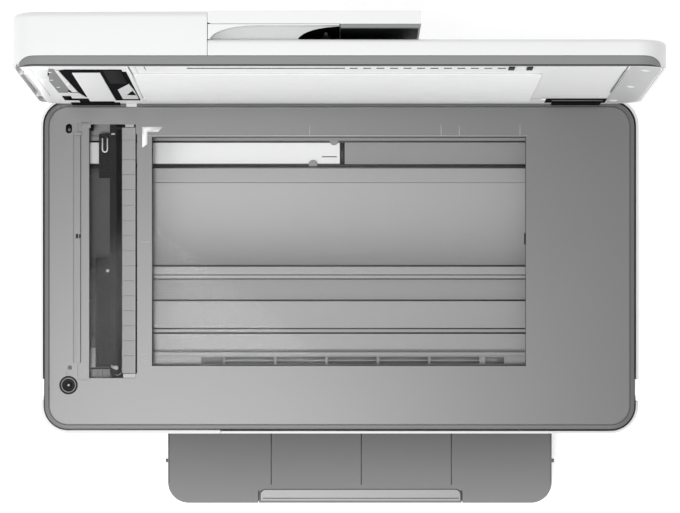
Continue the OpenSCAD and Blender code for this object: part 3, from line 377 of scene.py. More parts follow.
class Build:
    """Gathers simple solids into one mesh."""

    def __init__(self):
        self.mesh = bmesh.new()

    def loops(self, loops, capped=True):
        """Skin over a row of loops with the same number of points."""
        rings = [[self.mesh.verts.new(Vector(point) * MM) for point in loop] for loop in loops]
        count = len(rings[0])
        for low, high in zip(rings, rings[1:] + ([] if capped else rings[:1])):
            for i in range(count):
                j = (i + 1) % count
                self.mesh.faces.new((low[i], low[j], high[j], high[i]))
        if capped:
            self.mesh.faces.new(rings[0][::-1])
            self.mesh.faces.new(rings[-1])
        return self

    def prism(self, outline, axis, span):
        """Outline in the two other axes, pushed along an axis over a span."""
        def place(u, v, w):
            return {"x": (w, u, v), "y": (u, w, v), "z": (u, v, w)}[axis]
        return self.loops([[place(u, v, w) for u, v in outline] for w in span])

    def box(self, x, y, z):
        return self.prism([(x[0], y[0]), (x[1], y[0]), (x[1], y[1]), (x[0], y[1])], "z", z)

    def disc(self, axis, centre, radius, span, segments=40):
        ring = [(centre[0] + radius * math.cos(a), centre[1] + radius * math.sin(a))
                for a in (math.tau * i / segments for i in range(segments))]
        return self.prism(ring, axis, span)

    def lathe(self, centre, profile, capped=True, segments=48):
        """Turned solid about an upright axis; the profile is (radius, height) from one end to the other."""
        return self.loops([[(centre[0] + r * math.cos(a), centre[1] + r * math.sin(a), z)
                            for a in (math.tau * i / segments for i in range(segments))] for r, z in profile],
                          capped)

    def make(self, name, material, body=None, slot=None, bevel=0.25, opened=False):
        bmesh.ops.recalc_face_normals(self.mesh, faces=self.mesh.faces)
        if opened:
            for vertex in self.mesh.verts:
                vertex.co = opened_place(vertex.co / MM) * MM
        for face in self.mesh.faces:
            face.smooth = True
        data = bpy.data.meshes.new(name)
        self.mesh.to_mesh(data)
        self.mesh.free()
        data.materials.append(material)
        obj = bpy.data.objects.new(name, data)
        bpy.context.scene.collection.objects.link(obj)
        if body:
            if bevel:
                round_edges(obj, bevel, weld=False)
            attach(obj, body)
        return obj


def cut(obj, tool):
    """Takes the tool's solid away from a piece for good."""
    knife = tool.make(obj.name + "_knife", INK)
    change = obj.modifiers.new("cut", "BOOLEAN")
    change.operation = "DIFFERENCE"
    change.solver = "EXACT"
    change.use_self = True
    change.object = knife
    bpy.context.view_layer.update()
    result = bpy.data.meshes.new_from_object(obj.evaluated_get(bpy.context.evaluated_depsgraph_get()))
    obj.modifiers.clear()
    obj.data = result
    bpy.data.objects.remove(knife)
    for face in obj.data.polygons:
        face.use_smooth = True


def split(obj, across, along):
    """Divides the faces of a piece along straight lines, so that its large flat faces shade evenly."""
    mesh = bmesh.new()
    mesh.from_mesh(obj.data)
    for axis, places in ((Vector((1, 0, 0)), across), (Vector((0, 1, 0)), along)):
        for place in places:
            bmesh.ops.bisect_plane(mesh, geom=mesh.verts[:] + mesh.edges[:] + mesh.faces[:], dist=0.000002,
                                   plane_co=axis * place * MM, plane_no=axis)
    mesh.to_mesh(obj.data)
    mesh.free()


def rounded(half_w, half_d, radius, z, middle=(0, 0), steps=9):
    """Loop of points round a rectangle with round corners."""
    loop = []
    for sx, sy, start in ((1, 1, 0), (-1, 1, 90), (-1, -1, 180), (1, -1, 270)):
        for k in range(steps + 1):
            a = math.radians(start + 90 * k / steps)
            loop.append((middle[0] + sx * (half_w - radius) + radius * math.cos(a),
                         middle[1] + sy * (half_d - radius) + radius * math.sin(a), z))
    return loop


# ---------- scanner deck ----------


def deck_loops(profile):
    """Loops round the deck's outline; the profile is (distance in from the edge, height)."""
    low, high = span("scanner_deck")
    half_w, half_d = (high.x - low.x) / 2, (high.y - low.y) / 2
    return [rounded(half_w - inset, half_d - inset, DECK_RADIUS - inset, z) for inset, z in profile]


def deck():
    """Grey deck: a slightly sloping rim with a fine groove inside it, and the openings of the two glasses;
    painted shade lies in the groove and in the gap round the deck.
    """
    rim = [(2.2, 223.2), (2.2, 217.0), (0.75, 217.0), (0.75, 223.9), (1.0, 224.3), (1.5, 224.43),
           (4.4, 224.68), (4.55, 224.4), (5.1, 224.4), (5.25, 224.85), (6.2, 225.0)]
    piece = Build().loops(deck_loops(rim)).make("deck_panel", GREY)
    knife = Build()
    knife.box(WINDOW[:2], WINDOW[2:], (215, 230))
    knife.box((STRIP[0], -196.7), STRIP[2:], (215, 230))
    knife.box((-196.8, -195.5), (-104, 127), (215, 230))
    knife.box((-253.0, STRIP[0] + 0.1), (-110.6, 138.6), (224.0, 230))
    knife.disc("z", SOCKET, 8.9, (215, 230))
    for y in (131, 134):
        knife.disc("z", (-261.4, y), 3.1, (215, 230))
    knife.box((-264.5, -258.3), (131, 134), (214.9, 230.1))
    for centre in (-235, 228):
        knife.box((centre - 23.5, centre + 23.5), (155, 170), (210, 230))
    cut(piece, knife)
    knife = Build()
    knife.disc("z", (-260.5, -98.5), 3.0, (224.1, 230))
    knife.box((-263.5, -257.5), (-108, -98.5), (224.1, 230.1))
    cut(piece, knife)
    split(piece, [WINDOW[0], WINDOW[1], STRIP[0], STRIP[1], -253.0, -196.8],
          [WINDOW[2], WINDOW[3], -110.6, 138.6])
    round_edges(piece, 0.3, weld=False, angle=38)
    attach(piece, "scanner_unit")
    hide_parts("scanner_deck")

    # painted shade: a black strip in the gap between the deck and the skirt
    seam = Build().loops(deck_loops([(0.05, 218.0), (0.05, 222.9), (0.8, 222.9), (0.8, 218.0)]), capped=False)
    seam.make("deck_gap_shade", MATT_BLACK, "scanner_unit", "dark_plastic", 0)
    # painted shade: a dark strip in the bottom of the rim's groove
    line = Build().loops(deck_loops([(4.6, 224.3), (4.6, 224.58), (5.05, 224.58), (5.05, 224.3)]),
                         capped=False)
    line.make("deck_groove_shade", GREY_DARK, "scanner_unit", "grey_plastic", 0)

    # raised bar left of the feeder's glass, with a slotted catch
    section = [(-257.2, 224.6), (-257.2, 225.5), (-256.7, 225.7), (-250.5, 225.7), (-249.9, 225.3),
               (-249.9, 223.9)]
    bar = Build().prism(section, "y", (-93.9, 126)).make("strip_bar", GREY)
    knife = Build()
    for x in (-254.6, -251.6):
        knife.box((x, x + 2.1), (26.5, 30.8), (225.0, 228))
    cut(bar, knife)
    round_edges(bar, 0.2, weld=False)
    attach(bar, "scanner_unit")
    catch = Build().box((-254.3, -249.8), (26.9, 30.4), (224.7, 225.1))
    catch.make("bar_catch", BLACK, "scanner_unit", "dark_plastic", 0.1)
    end = Build().box((-257.4, -249.0), (126.2, 129.6), (224.7, 225.4))
    end.box((-249.6, -240.2), (133.0, 138.4), (223.6, 224.9))
    end.make("bar_end", GREY, "scanner_unit", "grey_plastic", 0.3)

    # ramp that lifts the sheet off the narrow glass, in short lengths
    ramp_piece = Build()
    profile = [(-210.3, 223.1), (-209.8, 223.6), (-197.9, 224.9), (-197.1, 224.8), (-197.1, 222.0),
               (-206.3, 222.0), (-206.3, 223.1)]
    ends = [133.5, 121.5, 102.5, 88.0, 73.5, 58.5, 43.5, 29.0, 14.5, 0.0, -14.5, -29.0, -43.5, -58.0,
            -72.5, -87.0, -104.0]
    for back, front in zip(ends, ends[1:]):
        ramp_piece.prism(profile, "y", (front + 0.1, back - 0.1))
    ramp_piece.box((-207, -198.5), (133.8, 138.2), (222.5, 224.6))
    ramp_piece.box((-209, -196.9), (-108.4, -104.3), (222.5, 224.6))
    ramp_piece.make("sheet_ramp", PALE_GREY, "scanner_unit", "grey_plastic", 0.12)

    # dark seal round the glass
    seal = Build()
    left, right, front, back = WINDOW
    for x, y in (((left, left + 0.9), (front, back)), ((right - 0.5, right), (front, back)),
                 ((left, right), (front, front + 0.5)), ((left, right), (back - 0.8, back))):
        seal.box(x, y, (GLASS_Z + 0.03, GLASS_Z + 1.2))
    seal.box((STRIP[0], STRIP[0] + 0.5), STRIP[2:], (GLASS_Z + 0.03, GLASS_Z + 0.9))
    seal.make("glass_seal", CHARCOAL, "scanner_unit", "dark_plastic", 0)
    gap = Build().box((-197.0, -196.3), (-104, 131), (GLASS_Z, DECK_Z - 0.3))
    gap.box((-241.8, -237.6), (130.2, 136.4), (GLASS_Z + 0.03, GLASS_Z + 0.3))
    gap.box((-216, -210.4), (134, 136.4), (GLASS_Z + 0.03, GLASS_Z + 0.3))
    gap.make("ramp_shadow_gap", MATT_BLACK, "scanner_unit", "dark_plastic", 0)
    clip = Build().box((178.4, 180.2), (20.5, 31.5), (GLASS_Z + 0.05, GLASS_Z + 1.5))
    clip.make("glass_clip", BLACK, "scanner_unit", "dark_plastic", 0.2)


def deck_fittings():
    """Damper socket, its slot and the oval sight hole."""
    cup = Build().lathe(SOCKET, [(0.01, 217.5), (8.6, 217.5), (8.7, 224.4), (8.2, 224.8), (7.0, 224.7),
                                 (6.4, 223.9), (6.1, 221.0), (3.0, 220.4), (2.6, 222.6), (1.4, 223.2),
                                 (0.01, 223.2)])
    cup.make("damper_socket", BLACK, "scanner_unit", "dark_plastic", 0.1)
    ring = Build().lathe(SOCKET, [(6.9, 224.62), (6.9, 224.85), (6.45, 224.85), (6.45, 224.5)], capped=False)
    ring.make("socket_ring", INK_GREY, "scanner_unit", "pale_plastic", 0)
    pin = Build().lathe(SOCKET, [(0.01, 223.0), (1.2, 223.1), (1.0, 223.5), (0.01, 223.6)])
    pin.make("socket_pin", INK_GREY, "scanner_unit", "pale_plastic", 0)
    slot = Build().disc("z", (-260.5, -98.5), 2.1, (223.6, 224.4))
    slot.make("socket_slot", CHARCOAL, "scanner_unit", "dark_plastic", 0.1)
    hole = Build().loops([[(x, y, z) for x, y, _ in rounded(3.0, 4.5, 3.0, 0, (-261.4, 132.5))]
                          for z in (219.5, 222.0)])
    hole.make("sight_hole", BLACK, "scanner_unit", "dark_plastic", 0)
    lens = Build().disc("z", (-261.2, 131.3), 1.5, (222.0, 222.7))
    lens.make("sight_lens", CHARCOAL, "scanner_unit", "dark_plastic", 0.2)


def edge_fittings():
    """Tab on the deck's back edge, and the raised grip and fine line of the paper tray, with painted shade
    round the grip, in the tray's grooves and along its ends.
    """
    tab = Build().box((-206, -195.7), (153.5, 158.4), (224.6, 225.5))
    tab.make("back_tab", SOFT_WHITE, "scanner_unit", "white_plastic", 0.25)
    grip = Build()
    left, right, front, back, radius = -79.6, 122.0, -237.4, -226.0, 5.5
    turns = [math.radians(15 * k) for k in range(1, 7)]
    outline = [(right, front), (right, back - radius)]
    outline += [(right - radius + radius * math.cos(a), back - radius + radius * math.sin(a)) for a in turns]
    outline += [(left + radius - radius * math.sin(a), back - radius + radius * math.cos(a)) for a in turns]
    outline += [(left, front)]
    grip.prism(outline, "z", (TRAY_Z + 0.02, TRAY_Z + 0.9))
    grip.make("tray_grip", PALE_GREY, "out_tray", "grey_plastic", 0.35)
    line = Build().box((left + 2, right - 2), (front + 2.2, front + 3.0), (TRAY_Z + 0.9, TRAY_Z + 0.96))
    line.make("grip_line", GREY_DARK, "out_tray", "grey_plastic", 0)
    # painted shade: dark strips in the tray's grooves and along its two ends
    lines = Build()
    for x in (-69.2, 21.6, 112.4):
        lines.box((x, x + 0.8), (-221, -163), (TRAY_Z - 0.7, TRAY_Z - 0.4))
    for x in (-171.9, 212.2):
        lines.box((x, x + 0.6), (-219, -163), (TRAY_Z - 0.1, TRAY_Z + 0.03))
    lines.make("tray_groove_shade", GREY_DARK, "out_tray", "grey_plastic", 0)
    # painted shade: a dark rim round the foot of the raised grip
    shade = Build().prism([(x + math.copysign(0.45, x - 20) * (1 if abs(x - 21.2) > 95 else 0),
                            y + (0.45 if y > front + 1 else 0)) for x, y in outline], "z",
                          (TRAY_Z + 0.01, TRAY_Z + 0.05))
    shade.make("grip_foot_shade", GREY_DARK, "out_tray", "grey_plastic", 0)


def paper_marks():
    """Corner mark and paper-length ticks printed on the deck; the lettering beside them is left out."""
    top = (DECK_Z + 0.01, DECK_Z + 0.05)
    corner = [(-190.6, 134.1), (-170.9, 134.1), (-175.2, 129.4), (-185.7, 129.4), (-185.7, 117.4),
              (-190.6, 114.1)]
    Build().prism(corner, "z", top).make("corner_mark", INK, "scanner_unit", "white_plastic", 0)
    ticks = Build()
    for x in (-28.8, 98.2, 115.8, 174.4):
        ticks.box((x - 0.25, x + 0.25), (126.3, 136.2), top)
    for y in (22.8, -85.6, -91.5):
        ticks.box((-191.8, -182.4), (y - 0.2, y + 0.2), top)
    ticks.box((-185.9, 181.4), (125.5, 126.0), top)
    ticks.make("size_ticks", INK_GREY, "scanner_unit", "pale_plastic", 0)


def scanner_floor():
    """Ribbon with its tabs, the floor's pockets, and painted shade on the floor: dark strips at its steps,
    dark triangles along the rack and a darker left end.
    """
    path = [(0.2, 194.32), (-10, 194.3)] + [(-20 - 5 * i, 194.3) for i in range(45)]
    path += [(-246 - 3.6 * math.sin(math.radians(a)), 197.9 - 3.6 * math.cos(math.radians(a)))
             for a in range(0, 91, 18)]
    path += [(-246 - 3.6 * math.cos(math.radians(a)), 204.4 + 3.6 * math.sin(math.radians(a)))
             for a in range(0, 91, 18)]
    path += [(-240, 208.0), (-233.6, 208.0)]
    loops = []
    for k, (x, z) in enumerate(path):
        before, after = path[max(k - 1, 0)], path[min(k + 1, len(path) - 1)]
        step = Vector((after[0] - before[0], after[1] - before[1])).normalized()
        normal = Vector((-step.y, step.x)) * 0.16
        loops.append([(x + side * normal.x, y, z + side * normal.y)
                      for side, y in ((-1, 99.5), (-1, 119.5), (1, 119.5), (1, 99.5))])
    ribbon = Build().loops(loops).make("flat_ribbon", RIBBON)
    ribbon.data.polygons.foreach_set("use_smooth", [False] * len(ribbon.data.polygons))
    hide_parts("scan_ribbon")
    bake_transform(ribbon)

    tabs = Build()
    tabs.disc("z", (-5.4, 121.6), 4.4, (194.7, 195.8)).disc("z", (-25.8, 98.6), 4.4, (194.7, 195.8))
    tabs.make("ribbon_tabs", GREY_FLOOR, "scanner_unit", "grey_plastic", 0.3)
    slot = Build().box((-17.2, -2.6), (105.6, 106.5), (194.56, 194.75))
    slot.make("ribbon_slot", CHARCOAL, "scanner_unit", "dark_plastic", 0)
    well = Build().box((0.7, 4.9), (98.4, 119.8), (191.2, 194.1))
    well.make("ribbon_well", CHARCOAL, "scanner_unit", "dark_plastic", 0)
    # painted shade: dark strips along the feet of the floor's steps
    lines = Build()
    for front, back, height in ((119.9, 121.5, 0.0), (96.6, 98.9, 0.0), (94.6, 96.4, 5.5), (-0.9, 0.7, 3.45),
                                (-9.5, -8.7, 7.0), (-13.6, -12.5, 2.6), (-34.5, -32.9, 3.3),
                                (-61.9, -60.7, 2.4), (-66.3, -64.8, 2.4)):
        lines.box(FLOOR_X, (front, back), (FLOOR_Z + height - 0.2, FLOOR_Z + height + 0.14))
    lines.make("floor_step_shade", GREY_DARK, "scanner_unit", "grey_plastic", 0)
    # painted shade: dark tooth-shaped triangles along the rack, for the shade in its toothing
    rack_shade = Build()
    tooth = [(0, -84.4), (0.1, -81.6), (0.3, -80.7), (0.5, -81.6), (0.6, -84.4)]   # share of the pitch, y
    x = RACK_START
    while x < RACK_END:
        rack_shade.prism([(x + RACK_PITCH * share, y) for share, y in tooth], "z",
                    (FLOOR_Z + 4.65, FLOOR_Z + 4.95))
        x += RACK_PITCH
    rack_shade.make("rack_tooth_shade", GREY_DARK, "scanner_unit", "grey_plastic", 0)
    # painted shade: a darker skin over the floor's left end, under the narrow glass, where the deck and the
    # carriage shade it
    steps = [(96.3, 5.5), (81, 5), (80.4, 4), (66, 3), (40, 1.8), (14, 2.2), (-0.9, 3.6), (-0.9, 9),
             (-8.7, 9), (-8.7, 7), (-12.5, 7), (-12.5, 2.6), (-34.5, 3.4), (-34.5, 7), (-60.7, 7),
             (-60.7, 2.4), (-66.3, 2.4), (-66.3, 5), (-80, 4.6)]
    section = [(y, FLOOR_Z + h + 0.16) for y, h in steps] + [(y, FLOOR_Z + h - 0.4) for y, h in steps[::-1]]
    shade = Build().prism(section, "x", (-262, -202))
    shade.make("floor_painted_shade", FLOOR_PAINTED_SHADE, "scanner_unit", "grey_plastic", 0)
    gap = Build()
    for left, right in ((-134.3, -112.8), (141.6, 160.0)):
        gap.box((left, right), POCKET_Y, (FLOOR_Z + 6.9, FLOOR_Z + 7.06))
    ribs = Build()
    for pocket in range(5):
        middle = -87.5 + 50 * pocket
        gap.box((middle - 23.6, middle + 23.5), POCKET_Y, (FLOOR_Z + 5.82, FLOOR_Z + 5.9))
        ribs.box((middle - 23.9, middle + 23.9), (-92.6, -91.6), (FLOOR_Z + 5.85, FLOOR_Z + 6.9))
    gap.make("rail_gaps", PALE_GREY, "scanner_unit", "grey_plastic", 0)
    ribs.make("pocket_ribs", GREY_FLOOR, "scanner_unit", "grey_plastic", 0.15)


def sensor_details():
    """Glass, spring clip, post, screw seats and ribs on the scan carriage."""
    window = Build().box((-215.8, -209.2), (-105.8, 131.8), (216.9, 217.8))
    window.make("sensor_glass", MATT_BLACK, "scan_carriage", "dark_plastic", 0.1)
    wire = Build()
    bend = [(-227.2 - 2.4 * math.cos(math.radians(a)), 112.5 - 2.4 * math.sin(math.radians(a)))
            for a in range(0, 181, 20)]
    arc = [(-229.6, 123.6)] + bend + [(-224.8, 123.6)]
    loops = []
    for k, (x, y) in enumerate(arc):
        before, after = arc[max(k - 1, 0)], arc[min(k + 1, len(arc) - 1)]
        side = Vector((after[0] - before[0], after[1] - before[1], 0)).normalized().cross(Vector((0, 0, 1)))
        loops.append([Vector((x, y, 215.6)) + side * 0.62 * math.cos(a) + Vector((0, 0, 0.6 * math.sin(a)))
                      for a in (math.tau * i / 10 for i in range(10))])
    wire.loops(loops).make("spring_clip", WHITE_SMOOTH, "scan_carriage", "white_plastic", 0)
    post = Build().lathe((-224.6, -4.9), [(0.01, 213.9), (1.5, 213.9), (1.3, 214.9), (0.8, 215.3),
                                          (0.01, 215.35)])
    post.make("guide_post", WHITE_SMOOTH, "scan_carriage", "white_plastic", 0)
    marks = Build().box((-217.6, -214.8), (-100.6, -97.2), (217.9, 218.5))
    marks.box((-221.0, -217.6), (-98.6, -97.4), (217.9, 218.4))
    marks.box((-220.8, -217.2), (126.8, 128.3), (217.9, 218.6))
    marks.make("carriage_marks", INK_GREY, "scan_carriage", "pale_plastic", 0.1)
    trim = Build()
    for y in (0.5, -11.5, -24, -52, -66, -83):
        trim.box((-234.8, -226.8), (y - 0.5, y + 0.5), (213.9, 214.7))
    trim.box((-235.6, -234.9), (-96, 5), (213.9, 214.8)).box((-223.2, -222.6), (-96, 5), (213.9, 215.0))
    for y, r in ((100, 1.6), (73, 1.4), (64, 1.9), (-30, 1.4), (-76, 1.6)):
        trim.lathe((-218.6, y), [(r, 217.8), (r, 218.5), (r - 0.5, 218.5), (r - 0.5, 217.9)])
    for y in (118, 92, 88):
        trim.box((-231.5, -223.5), (y - 0.4, y + 0.4), (214.9, 215.7))
    trim.box((-232.6, -231.8), (86, 127), (214.9, 215.8)).box((-222.2, -221.6), (60, 137), (217.9, 218.6))
    trim.make("carriage_ribs", BLACK, "scan_carriage", "dark_plastic", 0.15)
    foot = Build().box((-243.6, -222.6), (-111.4, -100.2), (211.9, 212.8))
    for x in (-240, -235, -230, -225):
        foot.box((x - 0.4, x + 0.4), (-111, -100.6), (212.7, 213.6))
    foot.make("carriage_foot", GREY_DARK, "scan_carriage", "dark_plastic", 0.2)


# ---------- lid ----------


def lid_piece(build, name, material, slot, bevel=0):
    """Makes a piece of the lid that is drawn for the closed lid."""
    return build.make(name, material, "lid", slot, bevel, opened=True)


def lid_details():
    """Fittings along the front and the right end of the lid's underside."""
    face = LID_Z
    dashes = Build().box((-134.9, 4.9), (-147.5, -141.5), (face - 0.12, face + 0.3))
    x = 9.0
    while x < 150:
        dashes.box((x, x + 7.0), (-147.5, -141.5), (face - 0.12, face + 0.3))
        x += 11.9
    lid_piece(dashes, "vent_slots", BLACK, "dark_plastic")
    pegs = Build()
    for x in (149.3, 165.3):
        pegs.box((x, x + 5.3), (-158, -139), (face - 1.4, face + 0.5))
    lid_piece(pegs, "lid_pegs", BLACK, "dark_plastic", 0.3)
    seam = Build().box((253.4, 254.6), (-160.2, 60), (face - 0.1, face + 0.3))
    lid_piece(seam, "lid_seam", GREY_DARK, "grey_plastic")
    outline = [(256.4, -157.4), (262, -157.4), (270.9, -155.6), (278.2, -150.9), (283.2, -143.5),
               (285.4, -134.7), (285.4, 134.7), (283.2, 143.5), (278.2, 150.9), (270.9, 155.6),
               (262, 157.4), (256, 157.4), (255.4, 118)]
    end = Build().prism(outline, "z", (face - 0.15, face + 0.3))
    lid_piece(end, "lid_end", PALE_END, "white_plastic", 0.1)
    bumpers = Build()
    for place in ((271.8, -130.6), (269.2, 4.7), (262, 130)):
        bumpers.lathe(place, [(0.01, face - 1.4), (2.2, face - 1.3), (3.8, face - 0.8), (4.6, face + 0.1),
                              (0.01, face + 0.1)])
    lid_piece(bumpers, "lid_bumpers", SOFT_WHITE, "white_plastic")


def plate_details():
    """Black surround of the pressure plate on the lid's underside, and the white parts round it."""
    face = LID_Z
    outline = [(-249.2, -129.4), (-243.7, -135.2), (-193.3, -134.5), (-192.9, -16.5), (-205.6, 30.7),
               (-205.3, 113), (-211.8, 124), (-234, 124), (-240.6, 95), (-245.6, 46)]
    surround = Build().prism(outline, "z", (face - 0.3, face + 0.3))
    lid_piece(surround, "plate_surround", MATT_BLACK, "dark_plastic", 0.1)
    ribs = Build()
    for k in range(22):
        y = -128 + 4.9 * k
        ribs.box((-210.0, -194.5), (y, y + 1.2), (face - 0.6, face - 0.2))
    lid_piece(ribs, "surround_ribs", INK_BLACK, "dark_plastic")
    latch = Build().prism([(-206, 30.7), (-192.9, -19), (-191.0, 39.6), (-190.8, 112), (-206.0, 112)], "z",
                          (face - 0.9, face - 0.1))
    lid_piece(latch, "latch_plate", SOFT_WHITE, "white_plastic", 0.2)
    opening = Build().prism([(-200.0, 74), (-192.8, 36), (-191.4, 76)], "z", (face - 1.0, face - 0.85))
    opening.box((-203.5, -191.5), (114, 126), (face - 0.5, face + 0.3))
    lid_piece(opening, "latch_opening", MATT_BLACK, "dark_plastic")
    ridge = Build().prism([(-187.2, face + 0.2), (-187.0, face - 0.5), (-186.6, face - 0.7),
                           (-186.4, face - 0.5), (-186.2, face + 0.2)], "y", (-158, 112))
    lid_piece(ridge, "pad_ridge", WHITE, "white_plastic")
    line = Build().prism([(-186.3, -158), (-185.6, -158), (-182.8, 112), (-183.5, 112)], "z",
                         (face - 0.3, face + 0.2))
    line.box((-172.2, -171.6), (-158, -131), (face - 0.3, face + 0.2))
    lid_piece(line, "ridge_line", GREY_DARK, "grey_plastic")
    band = Build().prism([(-185.0, -158), (-179.5, -158), (-179.0, 112), (-182.2, 112)], "z",
                         (face - 0.15, face + 0.2))
    lid_piece(band, "pad_band", SOFT_WHITE, "white_plastic")
    bracket = Build().prism([(-257.2, -142), (-252.9, -137), (-251.4, 27), (-254.5, 58), (-263.0, 58),
                             (-264.3, -40.9)], "z", (face - 0.6, face + 0.2))
    lid_piece(bracket, "feeder_bracket", MATT_GREY, "grey_plastic", 0.15)
    rail = Build().prism([(-252.6, -137), (-249.4, -131), (-244.4, 58), (-249.6, 56), (-251.2, 27)], "z",
                         (face - 0.8, face + 0.2))
    rail.prism([(-263, 59), (-245, 59), (-240.8, 97), (-236, 111), (-254, 111), (-254, 88), (-263, 88)], "z",
               (face - 0.4, face + 0.3))
    rail.prism([(-269.2, -142), (-257.4, -142), (-264.6, -65), (-275.3, -65)], "z", (face - 0.9, face + 0.2))
    lid_piece(rail, "bracket_rail", WHITE, "white_plastic", 0.15)
    studs = Build()
    for place in ((-257.7, -117.9), (-261.2, -53), (-259.6, 8.2)):
        studs.lathe(place, [(0.01, face - 0.95), (1.3, face - 0.9), (1.8, face - 0.6), (0.01, face - 0.5)])
    studs.box((-249.6, -247.2), (-22, -4), (face - 0.9, face - 0.2))
    lid_piece(studs, "bracket_studs", WHITE_SMOOTH, "white_plastic")
    block = Build().box((-252, -244.5), (50, 54), (face - 0.9, face - 0.2))
    block.box((-262.0, -256.6), (89, 122), (face - 0.9, face + 0.3))
    lid_piece(block, "bracket_block", MATT_BLACK, "dark_plastic")
    lines = Build().box((-280.6, -279.9), (-90, 60), (face - 0.1, face + 0.3))
    lines.box((-273.8, -273.3), (-150, 90), (face - 0.1, face + 0.3))
    lid_piece(lines, "corner_lines", INK_GREY, "pale_plastic")


def hinge_details():
    """Painted shade at the hinges, the strips between them, and the flange in the feeder cover."""
    face = LID_Z
    # painted shade: black patches on the lid's underside at both hinges, for the hinges' shadow
    hinges = Build().prism([(-249, 114), (-237, 114), (-234, 134), (-216, 138), (-216, 154.2), (-249, 154.2)],
                           "z", (face - 0.2, face + 0.3))
    hinges.box((197, 255), (122, 154.2), (face - 0.2, face + 0.3))
    lid_piece(hinges, "hinge_shade", MATT_BLACK, "dark_plastic")
    strip = Build().box((203, 252), (131, 136), (face - 0.3, face - 0.1))
    lid_piece(strip, "hinge_strip", MATT_GREY, "grey_plastic")
    strip = Build().prism([(-187, 113), (-139.5, 113), (-145.7, 157), (-190, 157)], "z",
                          (face - 0.7, face + 0.3))
    lid_piece(strip, "lower_strip", WHITE, "white_plastic", 0.2)
    lines = Build().box((-137, 196), (113.5, 114.6), (face - 0.1, face + 0.3))
    lines.box((120.3, 121), (116, 150), (face - 0.1, face + 0.3))
    lid_piece(lines, "lower_lines", INK_GREY, "pale_plastic")

    # flange inside the feeder cover's left wall, clear of the hinge lugs
    flange = Build()
    for y in ((-142, -90.6), (-84.8, 97.6), (103.2, 150)):
        flange.box((-286.9, -281.7), y, (face + 3.7, face + 4.5))
    flange.make("cover_flange", SOFT_WHITE, "feeder_lid", "white_plastic", 0, opened=True)


def band_gap_shade():
    """Painted shade: a dark strip for the shadowed gap below the grey band along the lid's front, following
    its round corners.
    """
    middle_x, middle_y = LID_HALF_W - LID_RADIUS, LID_RADIUS - LID_HALF_D
    outline = [(middle_x + LID_RADIUS * math.sin(math.radians(a)),
                middle_y - LID_RADIUS * math.cos(math.radians(a))) for a in range(64, -1, -4)]
    outline += [(-x, y) for x, y in reversed(outline)]
    loops = []
    for x, y in outline:
        fade = min(1.0, max(0.08, (283.6 - abs(x)) / 9.0))
        outward = Vector((0, -1))
        if abs(x) > middle_x:
            outward = Vector((x - math.copysign(middle_x, x), y - middle_y)).normalized()
        out_x, out_y = x + outward.x * 0.12, y + outward.y * 0.12
        in_x, in_y = x - outward.x * 1.6, y - outward.y * 1.6
        top = LID_Z + 1.6 * fade
        loops.append([(in_x, in_y, LID_Z + 0.02), (out_x, out_y, LID_Z + 0.02), (out_x, out_y, top),
                      (in_x, in_y, top)])
    lid_piece(Build().loops(loops), "band_gap_shade", CHARCOAL, "grey_plastic")


def feeder_details():
    """Black floor of the feeder's outlet, a black lining under its roof that paints the outlet's deep shade,
    and its rollers.
    """
    base = Build().box((-36, 70), (-156.5, 140), (OUTLET_Z + 0.05, OUTLET_Z + 0.5))
    lid_piece(base, "outlet_floor", BLACK, "dark_plastic")
    # painted shade: a black sheet under the input tray, over the outlet, for the outlet's deep shade
    roof = Build().box((1.2, 70.2), (-152.8, 140.6), (LID_Z + 36.7, LID_Z + 37.3))
    roof.make("outlet_roof_shade", BLACK, "input_tray", "dark_plastic", 0, opened=True)
    rollers = Build()
    for y in (-96, -32, 32, 96):
        rollers.disc("y", (-12, OUTLET_Z + 6.2), 4.6, (y - 9, y + 9))
    rollers.disc("y", (-12, OUTLET_Z + 6.2), 1.5, (-148, 138))
    lid_piece(rollers, "outlet_rollers", RUBBER, "rubber", 0.3)


deck()
deck_fittings()
edge_fittings()
paper_marks()
scanner_floor()
sensor_details()
lid_details()
plate_details()
hinge_details()
band_gap_shade()
feeder_details()

# ---------- camera, light and floor ----------


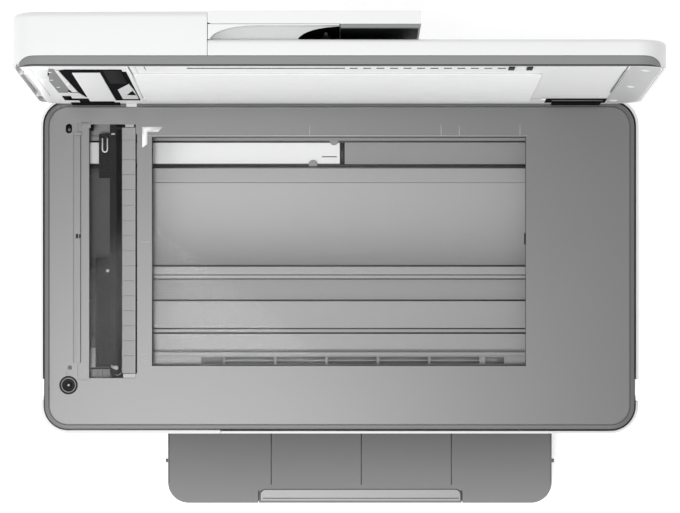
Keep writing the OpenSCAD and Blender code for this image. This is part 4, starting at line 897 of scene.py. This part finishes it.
def studio():
    scene = bpy.context.scene
    camera = bpy.data.objects.new("camera", bpy.data.cameras.new("camera"))
    camera.data.lens = 200
    camera.data.sensor_width = 36
    camera.location = (0.0005, 0.0089, 3.875)
    camera.data.clip_end = 50
    scene.collection.objects.link(camera)
    scene.camera = camera

    def area(name, place, target, size, power):
        light = bpy.data.lights.new(name, "AREA")
        light.shape = "RECTANGLE"
        light.size, light.size_y = size
        light.energy = power
        obj = bpy.data.objects.new(name, light)
        obj.location = place
        obj.rotation_euler = (Vector(target) - Vector(place)).to_track_quat("-Z", "Y").to_euler()
        scene.collection.objects.link(obj)

    area("key", (-0.36, -0.46, 4.6), (0, 0, 0.2), (0.8, 0.8), 64)
    area("left", (-2.4, -1.0, 3.2), (0, 0, 0.2), (2.0, 2.0), 30)
    area("front", (-1.5, -3.3, 1.5), (0, 0.2, 0.4), (2.2, 1.2), 52)
    area("back", (0.6, 3.0, 3.2), (0, 0, 0.3), (2.4, 1.4), 17)

    world = bpy.data.worlds.new("studio")
    scene.world = world
    world.use_nodes = True
    tree = world.node_tree
    place = add(tree, "ShaderNodeTexCoord")
    height = add(tree, "ShaderNodeSeparateXYZ")
    tree.links.new(place.outputs["Generated"], height.inputs[0])
    tree.links.new(ramp(tree, height.outputs["Z"], (0.46, 0.46, 0.46), (0.73, 0.73, 0.73)),
                   tree.nodes["Background"].inputs[0])
    scene.view_settings.view_transform = "Standard"

    mesh = bpy.data.meshes.new("floor")
    mesh.from_pydata([(-6, -6, 0), (6, -6, 0), (6, 6, 0), (-6, 6, 0)], [], [(0, 1, 2, 3)])
    floor = bpy.data.objects.new("floor", mesh)
    scene.collection.objects.link(floor)
    material, tree, shader = base_material("floor_sheet")
    shader.inputs["Base Color"].default_value = (0.92, 0.92, 0.92, 1)
    shader.inputs["Roughness"].default_value = 0.9
    shader.inputs["Emission Color"].default_value = (1, 1, 1, 1)
    shader.inputs["Emission Strength"].default_value = 0.34
    mesh.materials.append(material)


studio()
bpy.context.view_layer.update()
